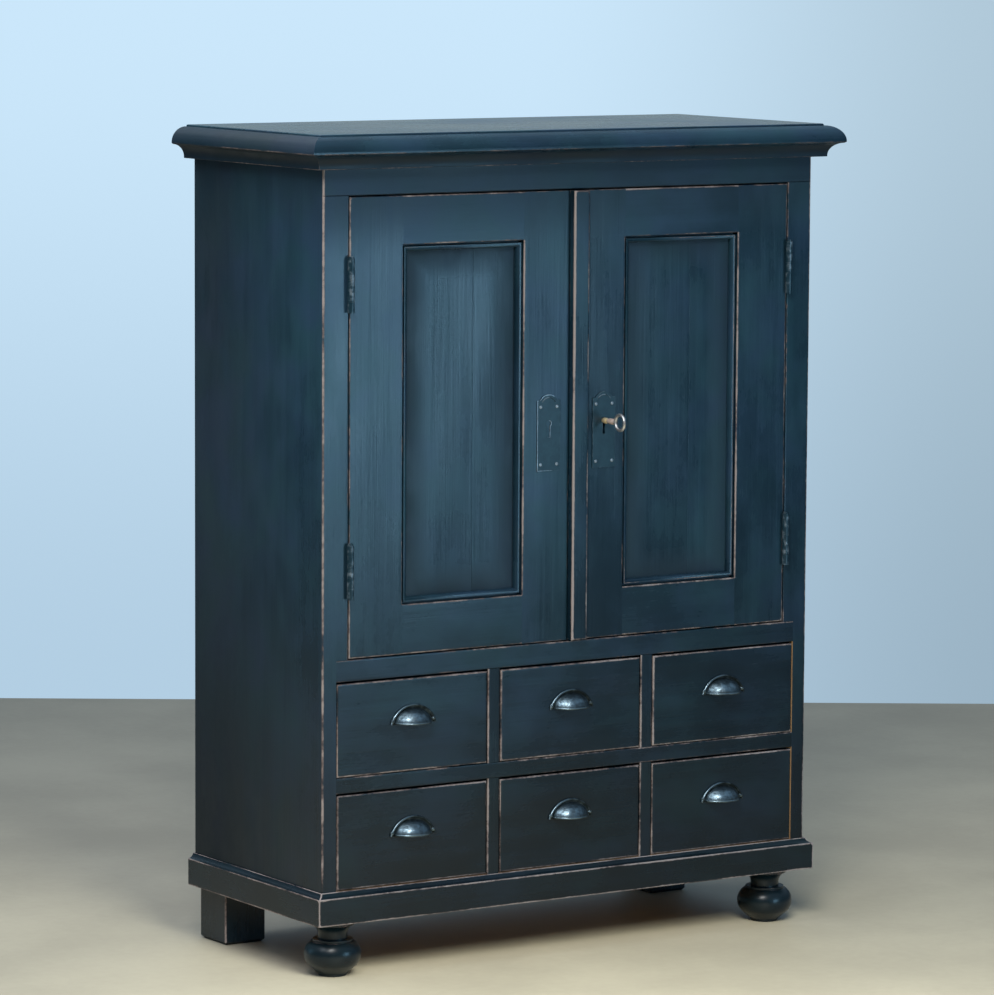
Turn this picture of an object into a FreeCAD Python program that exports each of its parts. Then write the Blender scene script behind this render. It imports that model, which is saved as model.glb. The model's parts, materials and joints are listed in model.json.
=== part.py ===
import FreeCAD, Part
import math
import os
import re

import Sketcher
from FreeCAD import Placement, Rotation, Vector

# A painted pine cupboard: two panelled doors over two rows of three drawers, on bun and block feet.
# Millimetres. The front faces -Y, right is +X, the floor is z = 0 and x = 0 is the middle of the carcass.

# Driving sizes
SIZES = {
    # Carcass boards
    "carcass_width": "900",
    "carcass_depth": "390",
    "side_thick": "24.5",
    "back_thick": "12",
    "back_rebate": "12",
    "back_board_count": "6",
    "bottom_thick": "20",
    "floor_thick": "18",
    "shelf_thick": "18",
    "top_thick": "20",
    "top_lap": "13.5",
    "housing_depth": "8",
    # Heights up the front, from the floor
    "foot_height": "87",
    "plinth_height": "50",
    "lower_drawer_height": "149.2",
    "drawer_rail_height": "24.2",
    "upper_drawer_height": "146.6",
    "middle_rail_height": "32.8",
    "door_opening_height": "700.8",
    "top_rail_height": "72.4",
    # Front frame
    "rail_depth": "45",
    "rail_tenon_length": "12",
    "rail_tenon_thick": "14",
    "rail_tenon_shoulder": "5",
    "muntin_width": "21.6",
    "muntin_tenon_length": "8",
    "muntin_tenon_thick": "20",
    "middle_drawer_width": "263",
    "jamb_width": "20",
    "stop_gap": "0.3",
    "stop_thick": "18",
    "stop_drop": "12",
    "stop_lap": "25",
    # Inside fittings
    "shelf_height": "330",
    "shelf_setback": "56",
    "shelf_play": "0.5",
    "cleat_section": "20",
    "runner_thick": "20",
    "side_runner_width": "30",
    "centre_runner_width": "60",
    "guide_height": "18",
    # Cornice, outwards from the carcass face and up from its soffit
    "cornice_drop": "32",
    "cornice_soffit": "18",
    "cornice_fillet": "2",
    "cove_reach": "19",
    "cove_rise": "20",
    "cove_radius": "20",
    "lip_reach": "2.8",
    "lip_rise": "1.5",
    "lip_height": "3.5",
    "ovolo_radius": "25",
    "cornice_step": "3",
    # Plinth
    "plinth_proud": "12",
    "plinth_cove_rise": "8",
    "plinth_ledge": "3",
    "plinth_cove_radius": "10",
    # Feet
    "corner_block_size": "90",
    "foot_tenon_radius": "11",
    "foot_tenon_length": "20",
    "foot_tenon_clearance": "0.1",
    "bun_side_inset": "44",
    "bun_front_inset": "42",
    "bun_base_radius": "22",
    "bun_base_height": "3",
    "bun_taper_height": "13",
    "bun_waist_radius": "37",
    "bun_shoulder_radius": "33",
    "bun_swell": "9",
    "bun_bead_radius": "31",
    "bun_bead_height": "3.5",
    "bun_neck_radius": "22.5",
    "bun_neck_height": "7",
    "bun_collar_radius": "34",
    "bun_collar_height": "8",
    "bun_flare_height": "15",
    "bun_flare_radius": "17",
    "block_foot_width": "72",
    "block_foot_depth": "79",
    "block_foot_inset": "10",
    "block_foot_chamfer": "5",
    # Doors
    "door_thick": "22",
    "door_gap": "2",
    "meet_gap": "2",
    "meet_offset": "7",
    "hinge_stile_width": "94",
    "left_meeting_width": "83",
    "right_meeting_width": "102",
    "door_top_rail_height": "74",
    "door_bottom_rail_height": "76",
    "door_tenon_length": "30",
    "door_tenon_thick": "8",
    "door_tenon_shoulder": "14",
    "panel_thick": "7",
    "panel_recess": "11",
    "panel_groove": "8",
    "moulding_width": "10",
    "moulding_quirk": "2.5",
    "moulding_round": "6.5",
    "strip_width": "28",
    "strip_proud": "12",
    "strip_round": "3",
    # Butt hinges
    "hinge_length": "82",
    "hinge_inset": "132",
    "barrel_radius": "5.35",
    "barrel_clearance": "0.3",
    "knuckle_gap": "0.2",
    "pin_radius": "2.5",
    "pin_clearance": "0.05",
    "pin_head_radius": "4",
    "pin_head_height": "3",
    "leaf_thick": "1.8",
    "leaf_depth": "19",
    "leaf_gap": "0.6",
    # Escutcheon plates, their nails and the keyhole
    "plate_width": "42",
    "plate_shoulder_height": "109",
    "plate_arch_width": "32",
    "plate_arch_rise": "9",
    "plate_thick": "2",
    "plate_rise": "268",
    "left_plate_x": "46",
    "right_plate_x": "56.5",
    "nail_inset_side": "6",
    "nail_inset_end": "10",
    "nail_head_radius": "2.6",
    "nail_head_height": "1.4",
    "nail_shank_radius": "0.9",
    "nail_length": "11",
    "keyhole_rise": "73",
    "keyhole_radius": "4.6",
    "keyhole_slot_width": "4.4",
    "keyhole_slot_drop": "21",
    # Lock and key
    "lock_case_width": "86",
    "lock_case_depth": "16",
    "lock_case_above": "34",
    "lock_case_below": "24",
    "lock_case_wall": "1.5",
    "lock_case_inset": "1",
    "lock_bolt_rise": "16",
    "lock_bolt_height": "12",
    "lock_bolt_thick": "8",
    "lock_bolt_length": "64",
    "lock_bolt_setback": "4",
    "lock_bolt_clearance": "0.3",
    "lock_guide_start": "20",
    "lock_guide_length": "16",
    "lock_guide_thick": "4",
    "key_shaft_radius": "3.2",
    "key_tip_radius": "2.5",
    "key_tip_clearance": "0.08",
    "key_collar_radius": "4.6",
    "key_collar_length": "4",
    "key_collar_distance": "27",
    "key_bow_distance": "46",
    "key_bow_radius": "12",
    "key_bow_wire": "2.5",
    "key_bit_drop": "14",
    "key_bit_thick": "3",
    "key_bit_length": "8",
    "key_bit_setback": "5",
    # Bolt on the back of the left door
    "bolt_plate_width": "22",
    "bolt_plate_height": "90",
    "bolt_plate_thick": "1.5",
    "bolt_plate_drop": "20",
    "bolt_staple_width": "18",
    "bolt_staple_height": "10",
    "bolt_staple_inset": "8",
    "bolt_rod_radius": "4",
    "bolt_rod_length": "100",
    "bolt_rod_clearance": "0.1",
    "bolt_stop_gap": "1",
    "bolt_staple_wall": "2",
    "bolt_throw": "12",
    "bolt_knob_radius": "4",
    "bolt_knob_length": "14",
    # Drawers
    "drawer_gap": "1.8",
    "drawer_head_gap": "3.2",
    "drawer_foot_gap": "0.9",
    "run_gap": "0.3",
    "front_thick": "20",
    "drawer_end_gap": "43",
    "drawer_side_thick": "10",
    "drawer_side_drop": "14",
    "drawer_back_thick": "9",
    "drawer_back_inset": "8",
    "drawer_back_dado": "4",
    "drawer_back_drop": "6",
    "drawer_bottom_thick": "6",
    "drawer_bottom_rise": "8",
    "drawer_bottom_groove": "5",
    "tail_count": "3",
    "tail_length": "14",
    "tail_tip_width": "26",
    "tail_root_width": "20",
    # Cup pulls and their screws
    "pull_width": "82",
    "pull_height": "29.5",
    "pull_proud": "25",
    "pull_side_flange": "8.5",
    "pull_top_flange": "6",
    "pull_flange_thick": "2.2",
    "pull_crown_radius": "6",
    "pull_shell": "2",
    "pull_lift": "1.2",
    "pull_ear_radius": "4.6",
    "pull_screw_inset": "4.4",
    "pull_screw_rise": "4.6",
    "screw_head_radius": "2.6",
    "screw_head_height": "1.4",
    "screw_shank_radius": "1.5",
    "screw_length": "15",
}

# Places worked out from the driving sizes: x from the middle, y from the depth's middle, z from the floor
LAYOUT = {
    "x_side": "carcass_width / 2",
    "x_inner": "x_side - side_thick",
    "x_housed": "x_inner + housing_depth",
    "x_jamb": "x_inner - jamb_width",
    "x_leaf": "x_jamb - door_gap",
    "x_pin": "x_jamb - door_gap / 2",
    "x_meet_right": "-meet_offset",
    "x_meet_left": "x_meet_right - meet_gap",
    "x_muntin": "(middle_drawer_width + muntin_width) / 2",
    "x_bun_foot": "x_side - bun_side_inset",
    "x_block_foot": "x_side - block_foot_inset - block_foot_width / 2",
    "cornice_proud": "cornice_soffit + cove_reach + lip_reach",
    "key_reach": "key_bow_distance + key_bow_radius + key_bow_wire",
    "y_front": "(max(key_reach; cornice_proud) - carcass_depth) / 2",
    "y_back": "y_front + carcass_depth",
    "y_inside": "y_back - back_thick",
    "y_rail": "y_front + rail_depth",
    "y_door_back": "y_front + door_thick",
    "y_stop": "y_door_back + stop_gap",
    "y_pin": "y_front - barrel_radius - barrel_clearance",
    "y_drawer_end": "y_inside - drawer_end_gap",
    "y_bun_foot": "y_front + bun_front_inset",
    "y_block_foot": "y_back - block_foot_depth / 2",
    "z_bun_taper": "bun_base_height + bun_taper_height",
    "z_bun_flare": "foot_height - bun_collar_height - bun_flare_height",
    "z_bun_bead": "z_bun_flare - bun_neck_height - bun_bead_height",
    "z_plinth": "foot_height",
    "z_base": "z_plinth + plinth_height",
    "z_drawer_rail": "z_base + lower_drawer_height",
    "z_upper": "z_drawer_rail + drawer_rail_height",
    "z_middle_rail": "z_upper + upper_drawer_height",
    "z_doors": "z_middle_rail + middle_rail_height",
    "z_top_rail": "z_doors + door_opening_height",
    "z_top": "z_top_rail + top_rail_height",
    "z_crown": "z_top + top_thick",
    "z_shelf": "z_doors + shelf_height",
    "z_door_low": "z_doors + door_gap",
    "z_door_high": "z_top_rail - door_gap",
    "z_panel_low": "z_door_low + door_bottom_rail_height",
    "z_panel_high": "z_door_high - door_top_rail_height",
    "z_plate": "z_doors + plate_rise",
    "z_key": "z_plate + keyhole_rise",
    "z_soffit": "z_top - cornice_drop",
    "z_bolt_plate": "z_door_high - bolt_plate_drop - bolt_plate_height",
    "z_bolt_tip": "z_top_rail - stop_drop - bolt_stop_gap",
    "y_bolt": "y_door_back + bolt_plate_thick + bolt_staple_wall + bolt_rod_radius",
    "x_bolt": "x_meet_left - left_meeting_width / 2",
    "pull_half": "pull_width / 2 - pull_side_flange",
    "pull_dome_height": "pull_height - pull_top_flange",
    "pull_plan_radius": "(pull_half ^ 2 + pull_proud ^ 2) / (2 * pull_proud)",
}

DOCUMENT = FreeCAD.newDocument("PaintedCupboard")
HOME = {}
NODES = {}
WORD = re.compile(r"[a-z_]+")


def bind(text):
    """Writes each alias in an expression as a reference to the sheet that holds it."""
    return WORD.sub(lambda word: f"{HOME[word[0]]}.{word[0]}" if word[0] in HOME else word[0], text)


def fill_sheet(name, cells, mark=""):
    sheet = DOCUMENT.addObject("Spreadsheet::Sheet", name)
    for row, (alias, text) in enumerate(cells.items(), start=1):
        sheet.set(f"A{row}", alias)
        sheet.set(f"B{row}", mark + bind(text))
        sheet.setAlias(f"B{row}", alias)
        HOME[alias] = name
    DOCUMENT.recompute()
    return sheet


SHEET = fill_sheet("Sizes", SIZES)
fill_sheet("Layout", LAYOUT, mark="=")


def value(text):
    return float(SHEET.evalExpression(bind(text)))


# Helpers for primitives and booleans
def place(solid, x, y, z):
    for axis, text in zip("xyz", (x, y, z)):
        solid.setExpression(f"Placement.Base.{axis}", bind(text))


def board(name, x, y, z):
    """A straight board between two places along each axis."""
    solid = DOCUMENT.addObject("Part::Box", name)
    for size, (low, high) in zip(("Length", "Width", "Height"), (x, y, z)):
        solid.setExpression(size, bind(f"({high}) - ({low})"))
    place(solid, x[0], y[0], z[0])
    return solid


def rod(name, radius, length, start, along=(0, 0, 1)):
    """A round bar that runs from a start point along an axis."""
    solid = DOCUMENT.addObject("Part::Cylinder", name)
    solid.Placement = Placement(Vector(), Rotation(Vector(0, 0, 1), Vector(*along)))
    solid.setExpression("Radius", bind(radius))
    solid.setExpression("Height", bind(length))
    place(solid, *start)
    return solid


def group(name, members):
    compound = DOCUMENT.addObject("Part::Compound", name)
    compound.Links = members
    return compound


def fuse(name, members):
    joined = DOCUMENT.addObject("Part::MultiFuse", name)
    joined.Shapes = members
    joined.Refine = True
    return joined


def common(name, members):
    shared = DOCUMENT.addObject("Part::MultiCommon", name)
    shared.Shapes = members
    return shared


def cut(name, base, tools):
    remainder = DOCUMENT.addObject("Part::Cut", name)
    remainder.Base = base
    remainder.Tool = tools[0] if len(tools) == 1 else group(f"{name}_tools", tools)
    remainder.Refine = True
    return remainder


def mirror(name, source):
    """The same piece on the other side of the cupboard's middle."""
    twin = DOCUMENT.addObject("Part::Mirroring", name)
    twin.Source = source
    twin.Normal = Vector(1, 0, 0)
    return twin


def both_sides(text):
    """The span from minus a place to plus the same place."""
    return f"-({text})", text


def node(piece):
    """Marks a finished piece, whose label names its file."""
    NODES[piece.Label] = piece
    return piece


# Helpers for sketched bodies
def arc_between(start, end, radius, counterclockwise, large):
    """The arc of a circle from start to end, as a curve and the numbers of its first and last point."""
    chord = end - start
    left = Vector(-chord.y, chord.x, 0).normalize()
    height = math.sqrt(radius * radius - (chord.Length / 2) ** 2)
    towards = 1 if counterclockwise != large else -1
    centre = (start + end) / 2 + left * height * towards
    first, last = (start, end) if counterclockwise else (end, start)
    angles = [math.atan2(point.y - centre.y, point.x - centre.x) for point in (first, last)]
    if angles[1] < angles[0]:
        angles[1] += 2 * math.pi
    circle = Part.Circle(centre, Vector(0, 0, 1), radius)
    return Part.ArcOfCircle(circle, *angles), (1, 2) if counterclockwise else (2, 1)


def draw_outline(sketch, corners, arcs=None):
    """A closed outline. Corners are pairs of expressions; arcs maps a corner's number to the round
    stretch that leaves it, as (radius, counterclockwise, large)."""
    arcs = arcs or {}
    points = [Vector(value(x), value(y), 0) for x, y in corners]
    ends = []
    for number, start in enumerate(points):
        end = points[(number + 1) % len(points)]
        curve, order = Part.LineSegment(start, end), (1, 2)
        if number in arcs:
            radius, counterclockwise, large = arcs[number]
            curve, order = arc_between(start, end, value(radius), counterclockwise, large)
        sketch.addGeometry(curve, False)
        ends.append(order)
    for number, (x, y) in enumerate(corners):
        before = number - 1 if number else len(corners) - 1
        start = ends[number][0]
        sketch.addConstraint(Sketcher.Constraint("Coincident", before, ends[before][1], number, start))
        for kind, text in (("DistanceX", x), ("DistanceY", y)):
            made = sketch.addConstraint(Sketcher.Constraint(kind, -1, 1, number, start, value(text)))
            sketch.setExpression(f"Constraints[{made}]", bind(text))
    for number, (radius, _, _) in arcs.items():
        made = sketch.addConstraint(Sketcher.Constraint("Radius", number, value(radius)))
        sketch.setExpression(f"Constraints[{made}]", bind(radius))


def new_body(name):
    return DOCUMENT.addObject("PartDesign::Body", name)


def new_sketch(body, name, role, corners, arcs=None):
    """An outline on one of the body's own planes."""
    sketch = body.newObject("Sketcher::SketchObject", name)
    plane = next(feature for feature in body.Origin.OriginFeatures if feature.Role == role)
    sketch.AttachmentSupport = [(plane, "")]
    sketch.MapMode = "FlatFace"
    draw_outline(sketch, corners, arcs)
    return sketch


def pad(body, sketch, length, side="One side", flip=False):
    feature = body.newObject("PartDesign::Pad", f"{sketch.Name}_pad")
    feature.Profile = sketch
    feature.SideType = side
    feature.Reversed = flip
    feature.setExpression("Length", bind(length))
    return feature


def turned_body(name, corners, arcs):
    """A body turned about its own upright axis."""
    body = new_body(name)
    sketch = new_sketch(body, f"{name}_profile", "XZ_Plane", corners, arcs)
    turning = body.newObject("PartDesign::Revolution", f"{name}_turning")
    turning.Profile = sketch
    turning.ReferenceAxis = (sketch, ["V_Axis"])
    turning.Angle = 360
    return body


def pocket_up(body, sketch):
    """Cuts an outline drawn on the floor plane out of everything above it, and tests that it cut."""
    DOCUMENT.recompute()
    before = body.Shape.Volume
    feature = body.newObject("PartDesign::Pocket", f"{sketch.Name}_pocket")
    feature.Profile = sketch
    feature.Type = "ThroughAll"
    feature.Reversed = True
    DOCUMENT.recompute()
    if not body.Shape.Volume < before:
        raise RuntimeError(f"{feature.Name} cut nothing")
    return feature


# Cornice and plinth: one profile each, run along the front and returned down both sides, mitred
CORNICE_PROFILE = [
    ("0", "z_soffit"),
    ("cornice_soffit", "z_soffit"),
    ("cornice_soffit", "z_soffit + cornice_fillet"),
    ("cornice_soffit + cove_reach", "z_soffit + cornice_fillet + cove_rise"),
    ("cornice_proud", "z_soffit + cornice_fillet + cove_rise + lip_rise"),
    ("cornice_proud", "z_soffit + cornice_fillet + cove_rise + lip_rise + lip_height"),
    ("top_lap", "z_crown - cornice_step"),
    ("top_lap", "z_top"),
    ("0", "z_top"),
]
CORNICE_ARCS = {2: ("cove_radius", False, False), 5: ("ovolo_radius", True, False)}
PLINTH_PROFILE = [
    ("0", "z_plinth"),
    ("plinth_proud", "z_plinth"),
    ("plinth_proud", "z_base - plinth_cove_rise"),
    ("plinth_ledge", "z_base"),
    ("0", "z_base"),
]
PLINTH_ARCS = {2: ("plinth_cove_radius", False, False)}


def front_moulding(name, profile, arcs, proud):
    """A moulding across the front with both ends mitred back to the carcass corners."""
    body = new_body(name)
    corners = [(f"y_front - ({out})", up) for out, up in profile]
    turned = {number: (radius, not turn, large) for number, (radius, turn, large) in arcs.items()}
    sketch = new_sketch(body, f"{name}_profile", "YZ_Plane", corners, turned)
    pad(body, sketch, f"carcass_width + 2 * {proud}", side="Symmetric")
    for side, sign in (("left", "-"), ("right", "")):
        corner = f"{sign}x_side"
        outer = f"{sign}(x_side + {proud})"
        mitre = [(corner, "y_front"), (outer, f"y_front - {proud}"), (outer, "y_front")]
        pocket_up(body, new_sketch(body, f"{name}_{side}_mitre", "XY_Plane", mitre))
    return node(body)


def return_mouldings(name, profile, arcs, proud):
    """The same moulding down the right side, mitred in front and square at the back, and its twin."""
    body = new_body(f"{name}_right")
    corners = [(f"x_side + ({out})", up) for out, up in profile]
    sketch = new_sketch(body, f"{name}_profile", "XZ_Plane", corners, arcs)
    length = f"carcass_depth + {proud}"
    pad(body, sketch, length, flip=True)
    body.setExpression("Placement.Base.y", bind(f"y_front - {proud}"))
    mitre = [("x_side", "0"), ("x_side + " + proud, "0"), ("x_side", proud)]
    pocket_up(body, new_sketch(body, f"{name}_mitre", "XY_Plane", mitre))
    return node(group(name, [body, mirror(f"{name}_left", body)]))


front_moulding("cornice_front", CORNICE_PROFILE, CORNICE_ARCS, "cornice_proud")
return_mouldings("cornice_returns", CORNICE_PROFILE, CORNICE_ARCS, "cornice_proud")
front_moulding("plinth_front", PLINTH_PROFILE, PLINTH_ARCS, "plinth_proud")
return_mouldings("plinth_returns", PLINTH_PROFILE, PLINTH_ARCS, "plinth_proud")


# Front frame: muntins let into the rails, rails tenoned into the sides, the top rail lapped over them
def make_muntins():
    rows = {"lower": ("z_base", "z_drawer_rail"), "upper": ("z_upper", "z_middle_rail")}
    made = []
    for row, (low, high) in rows.items():
        for side, middle in (("left", "-x_muntin"), ("right", "x_muntin")):
            name = f"{row}_{side}_muntin"
            width = (f"{middle} - muntin_width / 2", f"{middle} + muntin_width / 2")
            post = board(f"{name}_post", width, ("y_front", "y_rail"), (low, high))
            tenon_y = ("y_rail - muntin_tenon_thick", "y_rail - rail_tenon_shoulder")
            tenon_z = (f"{low} - muntin_tenon_length", f"{high} + muntin_tenon_length")
            made.append(fuse(name, [post, board(f"{name}_tenon", width, tenon_y, tenon_z)]))
    return node(group("drawer_muntins", made))


def make_rail(name, low, high):
    """A rail between the sides with a stub tenon at each end and mortises for the muntins."""
    face = board(f"{name}_face", both_sides("x_inner"), ("y_front", "y_rail"), (low, high))
    tenon = board(
        f"{name}_tenon",
        both_sides("x_inner + rail_tenon_length"),
        ("y_front + rail_tenon_shoulder", "y_front + rail_tenon_shoulder + rail_tenon_thick"),
        (f"{low} + rail_tenon_shoulder", f"{high} - rail_tenon_shoulder"),
    )
    return node(cut(name, fuse(f"{name}_blank", [face, tenon]), [MUNTINS]))


MUNTINS = make_muntins()
DRAWER_RAIL = make_rail("drawer_rail", "z_drawer_rail", "z_upper")
MIDDLE_RAIL = make_rail("middle_rail", "z_middle_rail", "z_doors")
TOP_RAIL = node(board("top_rail", both_sides("x_side"), ("y_front", "y_stop"), ("z_top_rail", "z_top")))


# Carcass boards
def make_back_boards():
    planks = []
    count = int(value("back_board_count"))
    for number in range(count):
        edge = f"2 * (x_inner + back_rebate) / back_board_count * {number} - (x_inner + back_rebate)"
        width = (edge, f"{edge} + 2 * (x_inner + back_rebate) / back_board_count")
        planks.append(board(f"back_board_{number + 1}", width, ("y_inside", "y_back"), ("z_plinth", "z_top")))
    return node(group("back_boards", planks))


def make_carcass():
    back = make_back_boards()
    across = both_sides("x_housed")
    bottom_z = ("z_base - bottom_thick", "z_base")
    bottom_blank = board("bottom_board_blank", across, ("y_front", "y_inside"), bottom_z)
    bottom = node(cut("bottom_board", bottom_blank, [MUNTINS]))
    floor_z = ("z_doors - floor_thick", "z_doors")
    floor = node(board("cupboard_floor", across, ("y_rail", "y_inside"), floor_z))
    blank = board("side_blank", ("x_inner", "x_side"), ("y_front", "y_back"), ("z_plinth", "z_top"))
    housed = [bottom, floor, DRAWER_RAIL, MIDDLE_RAIL, TOP_RAIL, back]
    right = node(cut("side_panel_right", blank, housed))
    node(mirror("side_panel_left", right))
    top_x = both_sides("x_side + top_lap")
    node(board("top_board", top_x, ("y_front - top_lap", "y_back"), ("z_top", "z_crown")))


def make_shelf():
    depth = ("y_front + shelf_setback", "y_inside")
    width = both_sides("x_inner - shelf_play")
    node(board("cupboard_shelf", width, depth, ("z_shelf - shelf_thick", "z_shelf")))
    cleat_z = ("z_shelf - shelf_thick - cleat_section", "z_shelf - shelf_thick")
    cleat = board("right_cleat", ("x_inner - cleat_section", "x_inner"), depth, cleat_z)
    node(group("shelf_cleats", [cleat, mirror("left_cleat", cleat)]))


def make_runners():
    """Runners carry the upper drawers; guides keep neighbouring drawers apart in both rows."""
    depth = ("y_rail", "y_inside")
    runner_z = ("z_upper - runner_thick", "z_upper")
    outer = board("outer_runner", ("x_inner - side_runner_width", "x_inner"), depth, runner_z)
    centre_x = ("x_muntin - centre_runner_width / 2", "x_muntin + centre_runner_width / 2")
    guide_x = ("x_muntin - muntin_width / 2", "x_muntin + muntin_width / 2")
    centre = board("centre_runner", centre_x, depth, runner_z)
    upper_guide = board("upper_guide", guide_x, depth, ("z_upper", "z_upper + guide_height"))
    lower_guide = board("lower_guide", guide_x, depth, ("z_base", "z_base + guide_height"))
    right = [outer, centre, upper_guide, lower_guide]
    left = [mirror(f"{piece.Name}_left", piece) for piece in right]
    node(group("drawer_runners", right + left))


make_carcass()
make_shelf()
make_runners()


# Feet and the corner blocks that carry them
def make_feet():
    profile = [
        ("0", "0"),
        ("bun_base_radius", "0"),
        ("bun_base_radius", "bun_base_height"),
        ("bun_waist_radius", "z_bun_taper"),
        ("bun_shoulder_radius", "z_bun_bead"),
        ("bun_bead_radius", "z_bun_bead"),
        ("bun_bead_radius", "z_bun_bead + bun_bead_height"),
        ("bun_neck_radius", "z_bun_bead + bun_bead_height"),
        ("bun_neck_radius", "z_bun_flare"),
        ("bun_collar_radius", "foot_height - bun_collar_height"),
        ("bun_collar_radius", "foot_height"),
        ("foot_tenon_radius", "foot_height"),
        ("foot_tenon_radius", "foot_height + foot_tenon_length"),
        ("0", "foot_height + foot_tenon_length"),
    ]
    chord = "((z_bun_bead - z_bun_taper) ^ 2 + (bun_waist_radius - bun_shoulder_radius) ^ 2)"
    swell = f"({chord} / 4 + bun_swell ^ 2) / (2 * bun_swell)"
    arcs = {3: (swell, True, False), 8: ("bun_flare_radius", False, False)}
    bun = turned_body("right_bun_foot", profile, arcs)
    place(bun, "x_bun_foot", "y_bun_foot", "0")
    node(group("bun_feet", [bun, mirror("left_bun_foot", bun)]))

    foot_x = ("x_block_foot - block_foot_width / 2", "x_block_foot + block_foot_width / 2")
    blank = board("block_foot_blank", foot_x, ("y_back - block_foot_depth", "y_back"), ("0", "foot_height"))
    DOCUMENT.recompute()
    eased = DOCUMENT.addObject("Part::Chamfer", "block_foot_eased")
    eased.Base = blank
    size = value("block_foot_chamfer")
    floor_edges = [
        number for number, edge in enumerate(blank.Shape.Edges, start=1)
        if edge.BoundBox.ZMax < size
    ]
    eased.Edges = [(number, size, size) for number in floor_edges]
    tenon_at = ("x_block_foot", "y_block_foot", "foot_height")
    tenon = rod("block_foot_tenon", "foot_tenon_radius", "foot_tenon_length", tenon_at)
    block = fuse("right_block_foot", [eased, tenon])
    node(group("block_feet", [block, mirror("left_block_foot", block)]))


def make_corner_blocks():
    """Glue blocks under the bottom board, each bored for the tenon of its foot."""
    spans = {
        "front": ("y_front", "y_front + corner_block_size"),
        "rear": ("y_inside - corner_block_size", "y_inside"),
    }
    feet = {"front": ("x_bun_foot", "y_bun_foot"), "rear": ("x_block_foot", "y_block_foot")}
    across = ("x_inner - corner_block_size", "x_inner")
    height = ("z_plinth", "z_base - bottom_thick")
    blocks = []
    for end, depth in spans.items():
        blank = board(f"{end}_block_blank", across, depth, height)
        bore_radius = "foot_tenon_radius + foot_tenon_clearance"
        bore = rod(f"{end}_block_bore", bore_radius, "plinth_height", (*feet[end], "z_plinth"))
        blocks.append(cut(f"{end}_block", blank, [bore]))
    twins = [mirror(f"{block.Name}_left", block) for block in blocks]
    node(group("corner_blocks", blocks + twins))


make_feet()
make_corner_blocks()


# Butt hinges: built on the right, with a twin of each on the left
KNUCKLES = 5


def hinge_leaf(name, low, plate_x, numbers):
    """A leaf's plate with its own knuckles, bored for the pin."""
    plate = board(
        f"{name}_plate", plate_x, ("y_front", "y_front + leaf_depth"), (low, f"{low} + hinge_length")
    )
    pieces = [plate]
    for number in numbers:
        start = f"{low} + hinge_length / {KNUCKLES} * {number} + knuckle_gap / 2"
        length = f"hinge_length / {KNUCKLES} - knuckle_gap"
        barrel = rod(f"{name}_knuckle_{number}", "barrel_radius", length, ("x_pin", "y_pin", start))
        tab = board(f"{name}_tab_{number}", plate_x, ("y_pin", "y_front"), (start, f"{start} + {length}"))
        pieces += [barrel, tab]
    bore = rod(f"{name}_bore", "pin_radius + pin_clearance", "hinge_length", ("x_pin", "y_pin", low))
    return cut(name, fuse(f"{name}_blank", pieces), [bore]), plate


def make_hinges():
    places = {
        "lower": "z_door_low + hinge_inset - hinge_length / 2",
        "upper": "z_door_high - hinge_inset - hinge_length / 2",
    }
    frame_x = ("x_pin + leaf_gap / 2", "x_pin + leaf_gap / 2 + leaf_thick")
    door_x = ("x_pin - leaf_gap / 2 - leaf_thick", "x_pin - leaf_gap / 2")
    made = {"frame": [], "door": [], "pin": [], "frame_plate": [], "door_plate": []}
    for end, low in places.items():
        for kind, plate_x, numbers in (("frame", frame_x, (0, 2, 4)), ("door", door_x, (1, 3))):
            leaf, plate = hinge_leaf(f"{end}_{kind}_leaf", low, plate_x, numbers)
            made[kind].append(leaf)
            made[f"{kind}_plate"].append(plate)
        shank = rod(f"{end}_pin_shank", "pin_radius", "hinge_length", ("x_pin", "y_pin", low))
        top = ("x_pin", "y_pin", f"{low} + hinge_length - knuckle_gap / 2")
        head = rod(f"{end}_pin_head", "pin_head_radius", "pin_head_height", top)
        made["pin"].append(fuse(f"{end}_hinge_pin", [shank, head]))
    for kind, name in (("frame", "hinge_frame_leaves"), ("pin", "hinge_pins")):
        twins = [mirror(f"{piece.Name}_left", piece) for piece in made[kind]]
        node(group(name, made[kind] + twins))
    right_leaves = node(group("right_hinge_leaves", made["door"]))
    node(mirror("left_hinge_leaves", right_leaves))
    return made["frame_plate"], made["door_plate"]


FRAME_PLATES, DOOR_PLATES = make_hinges()


def make_jambs():
    blank = board("jamb_blank", ("x_jamb", "x_inner"), ("y_front", "y_rail"), ("z_doors", "z_top_rail"))
    right = cut("right_jamb", blank, FRAME_PLATES)
    node(group("door_jambs", [right, mirror("left_jamb", right)]))


make_jambs()


# Nails and screws with a domed head, driven into the front
def fastener(name, kind, x, y, z):
    """A domed head that stands proud of a face at y, with a shank behind it; also the shank alone."""
    ball = f"(({kind}_head_radius ^ 2 + {kind}_head_height ^ 2) / (2 * {kind}_head_height))"
    head = DOCUMENT.addObject("Part::Sphere", f"{name}_head")
    head.Placement = Placement(Vector(), Rotation(Vector(0, 0, 1), Vector(0, -1, 0)))
    head.setExpression("Radius", bind(ball))
    head.setExpression("Angle1", bind(f"asin(1 - {kind}_head_height / {ball})"))
    place(head, x, f"{y} + {ball} - {kind}_head_height", z)
    shank = rod(f"{name}_shank", f"{kind}_shank_radius", f"{kind}_length", (x, y, z), along=(0, 1, 0))
    return fuse(name, [head, shank]), shank


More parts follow.
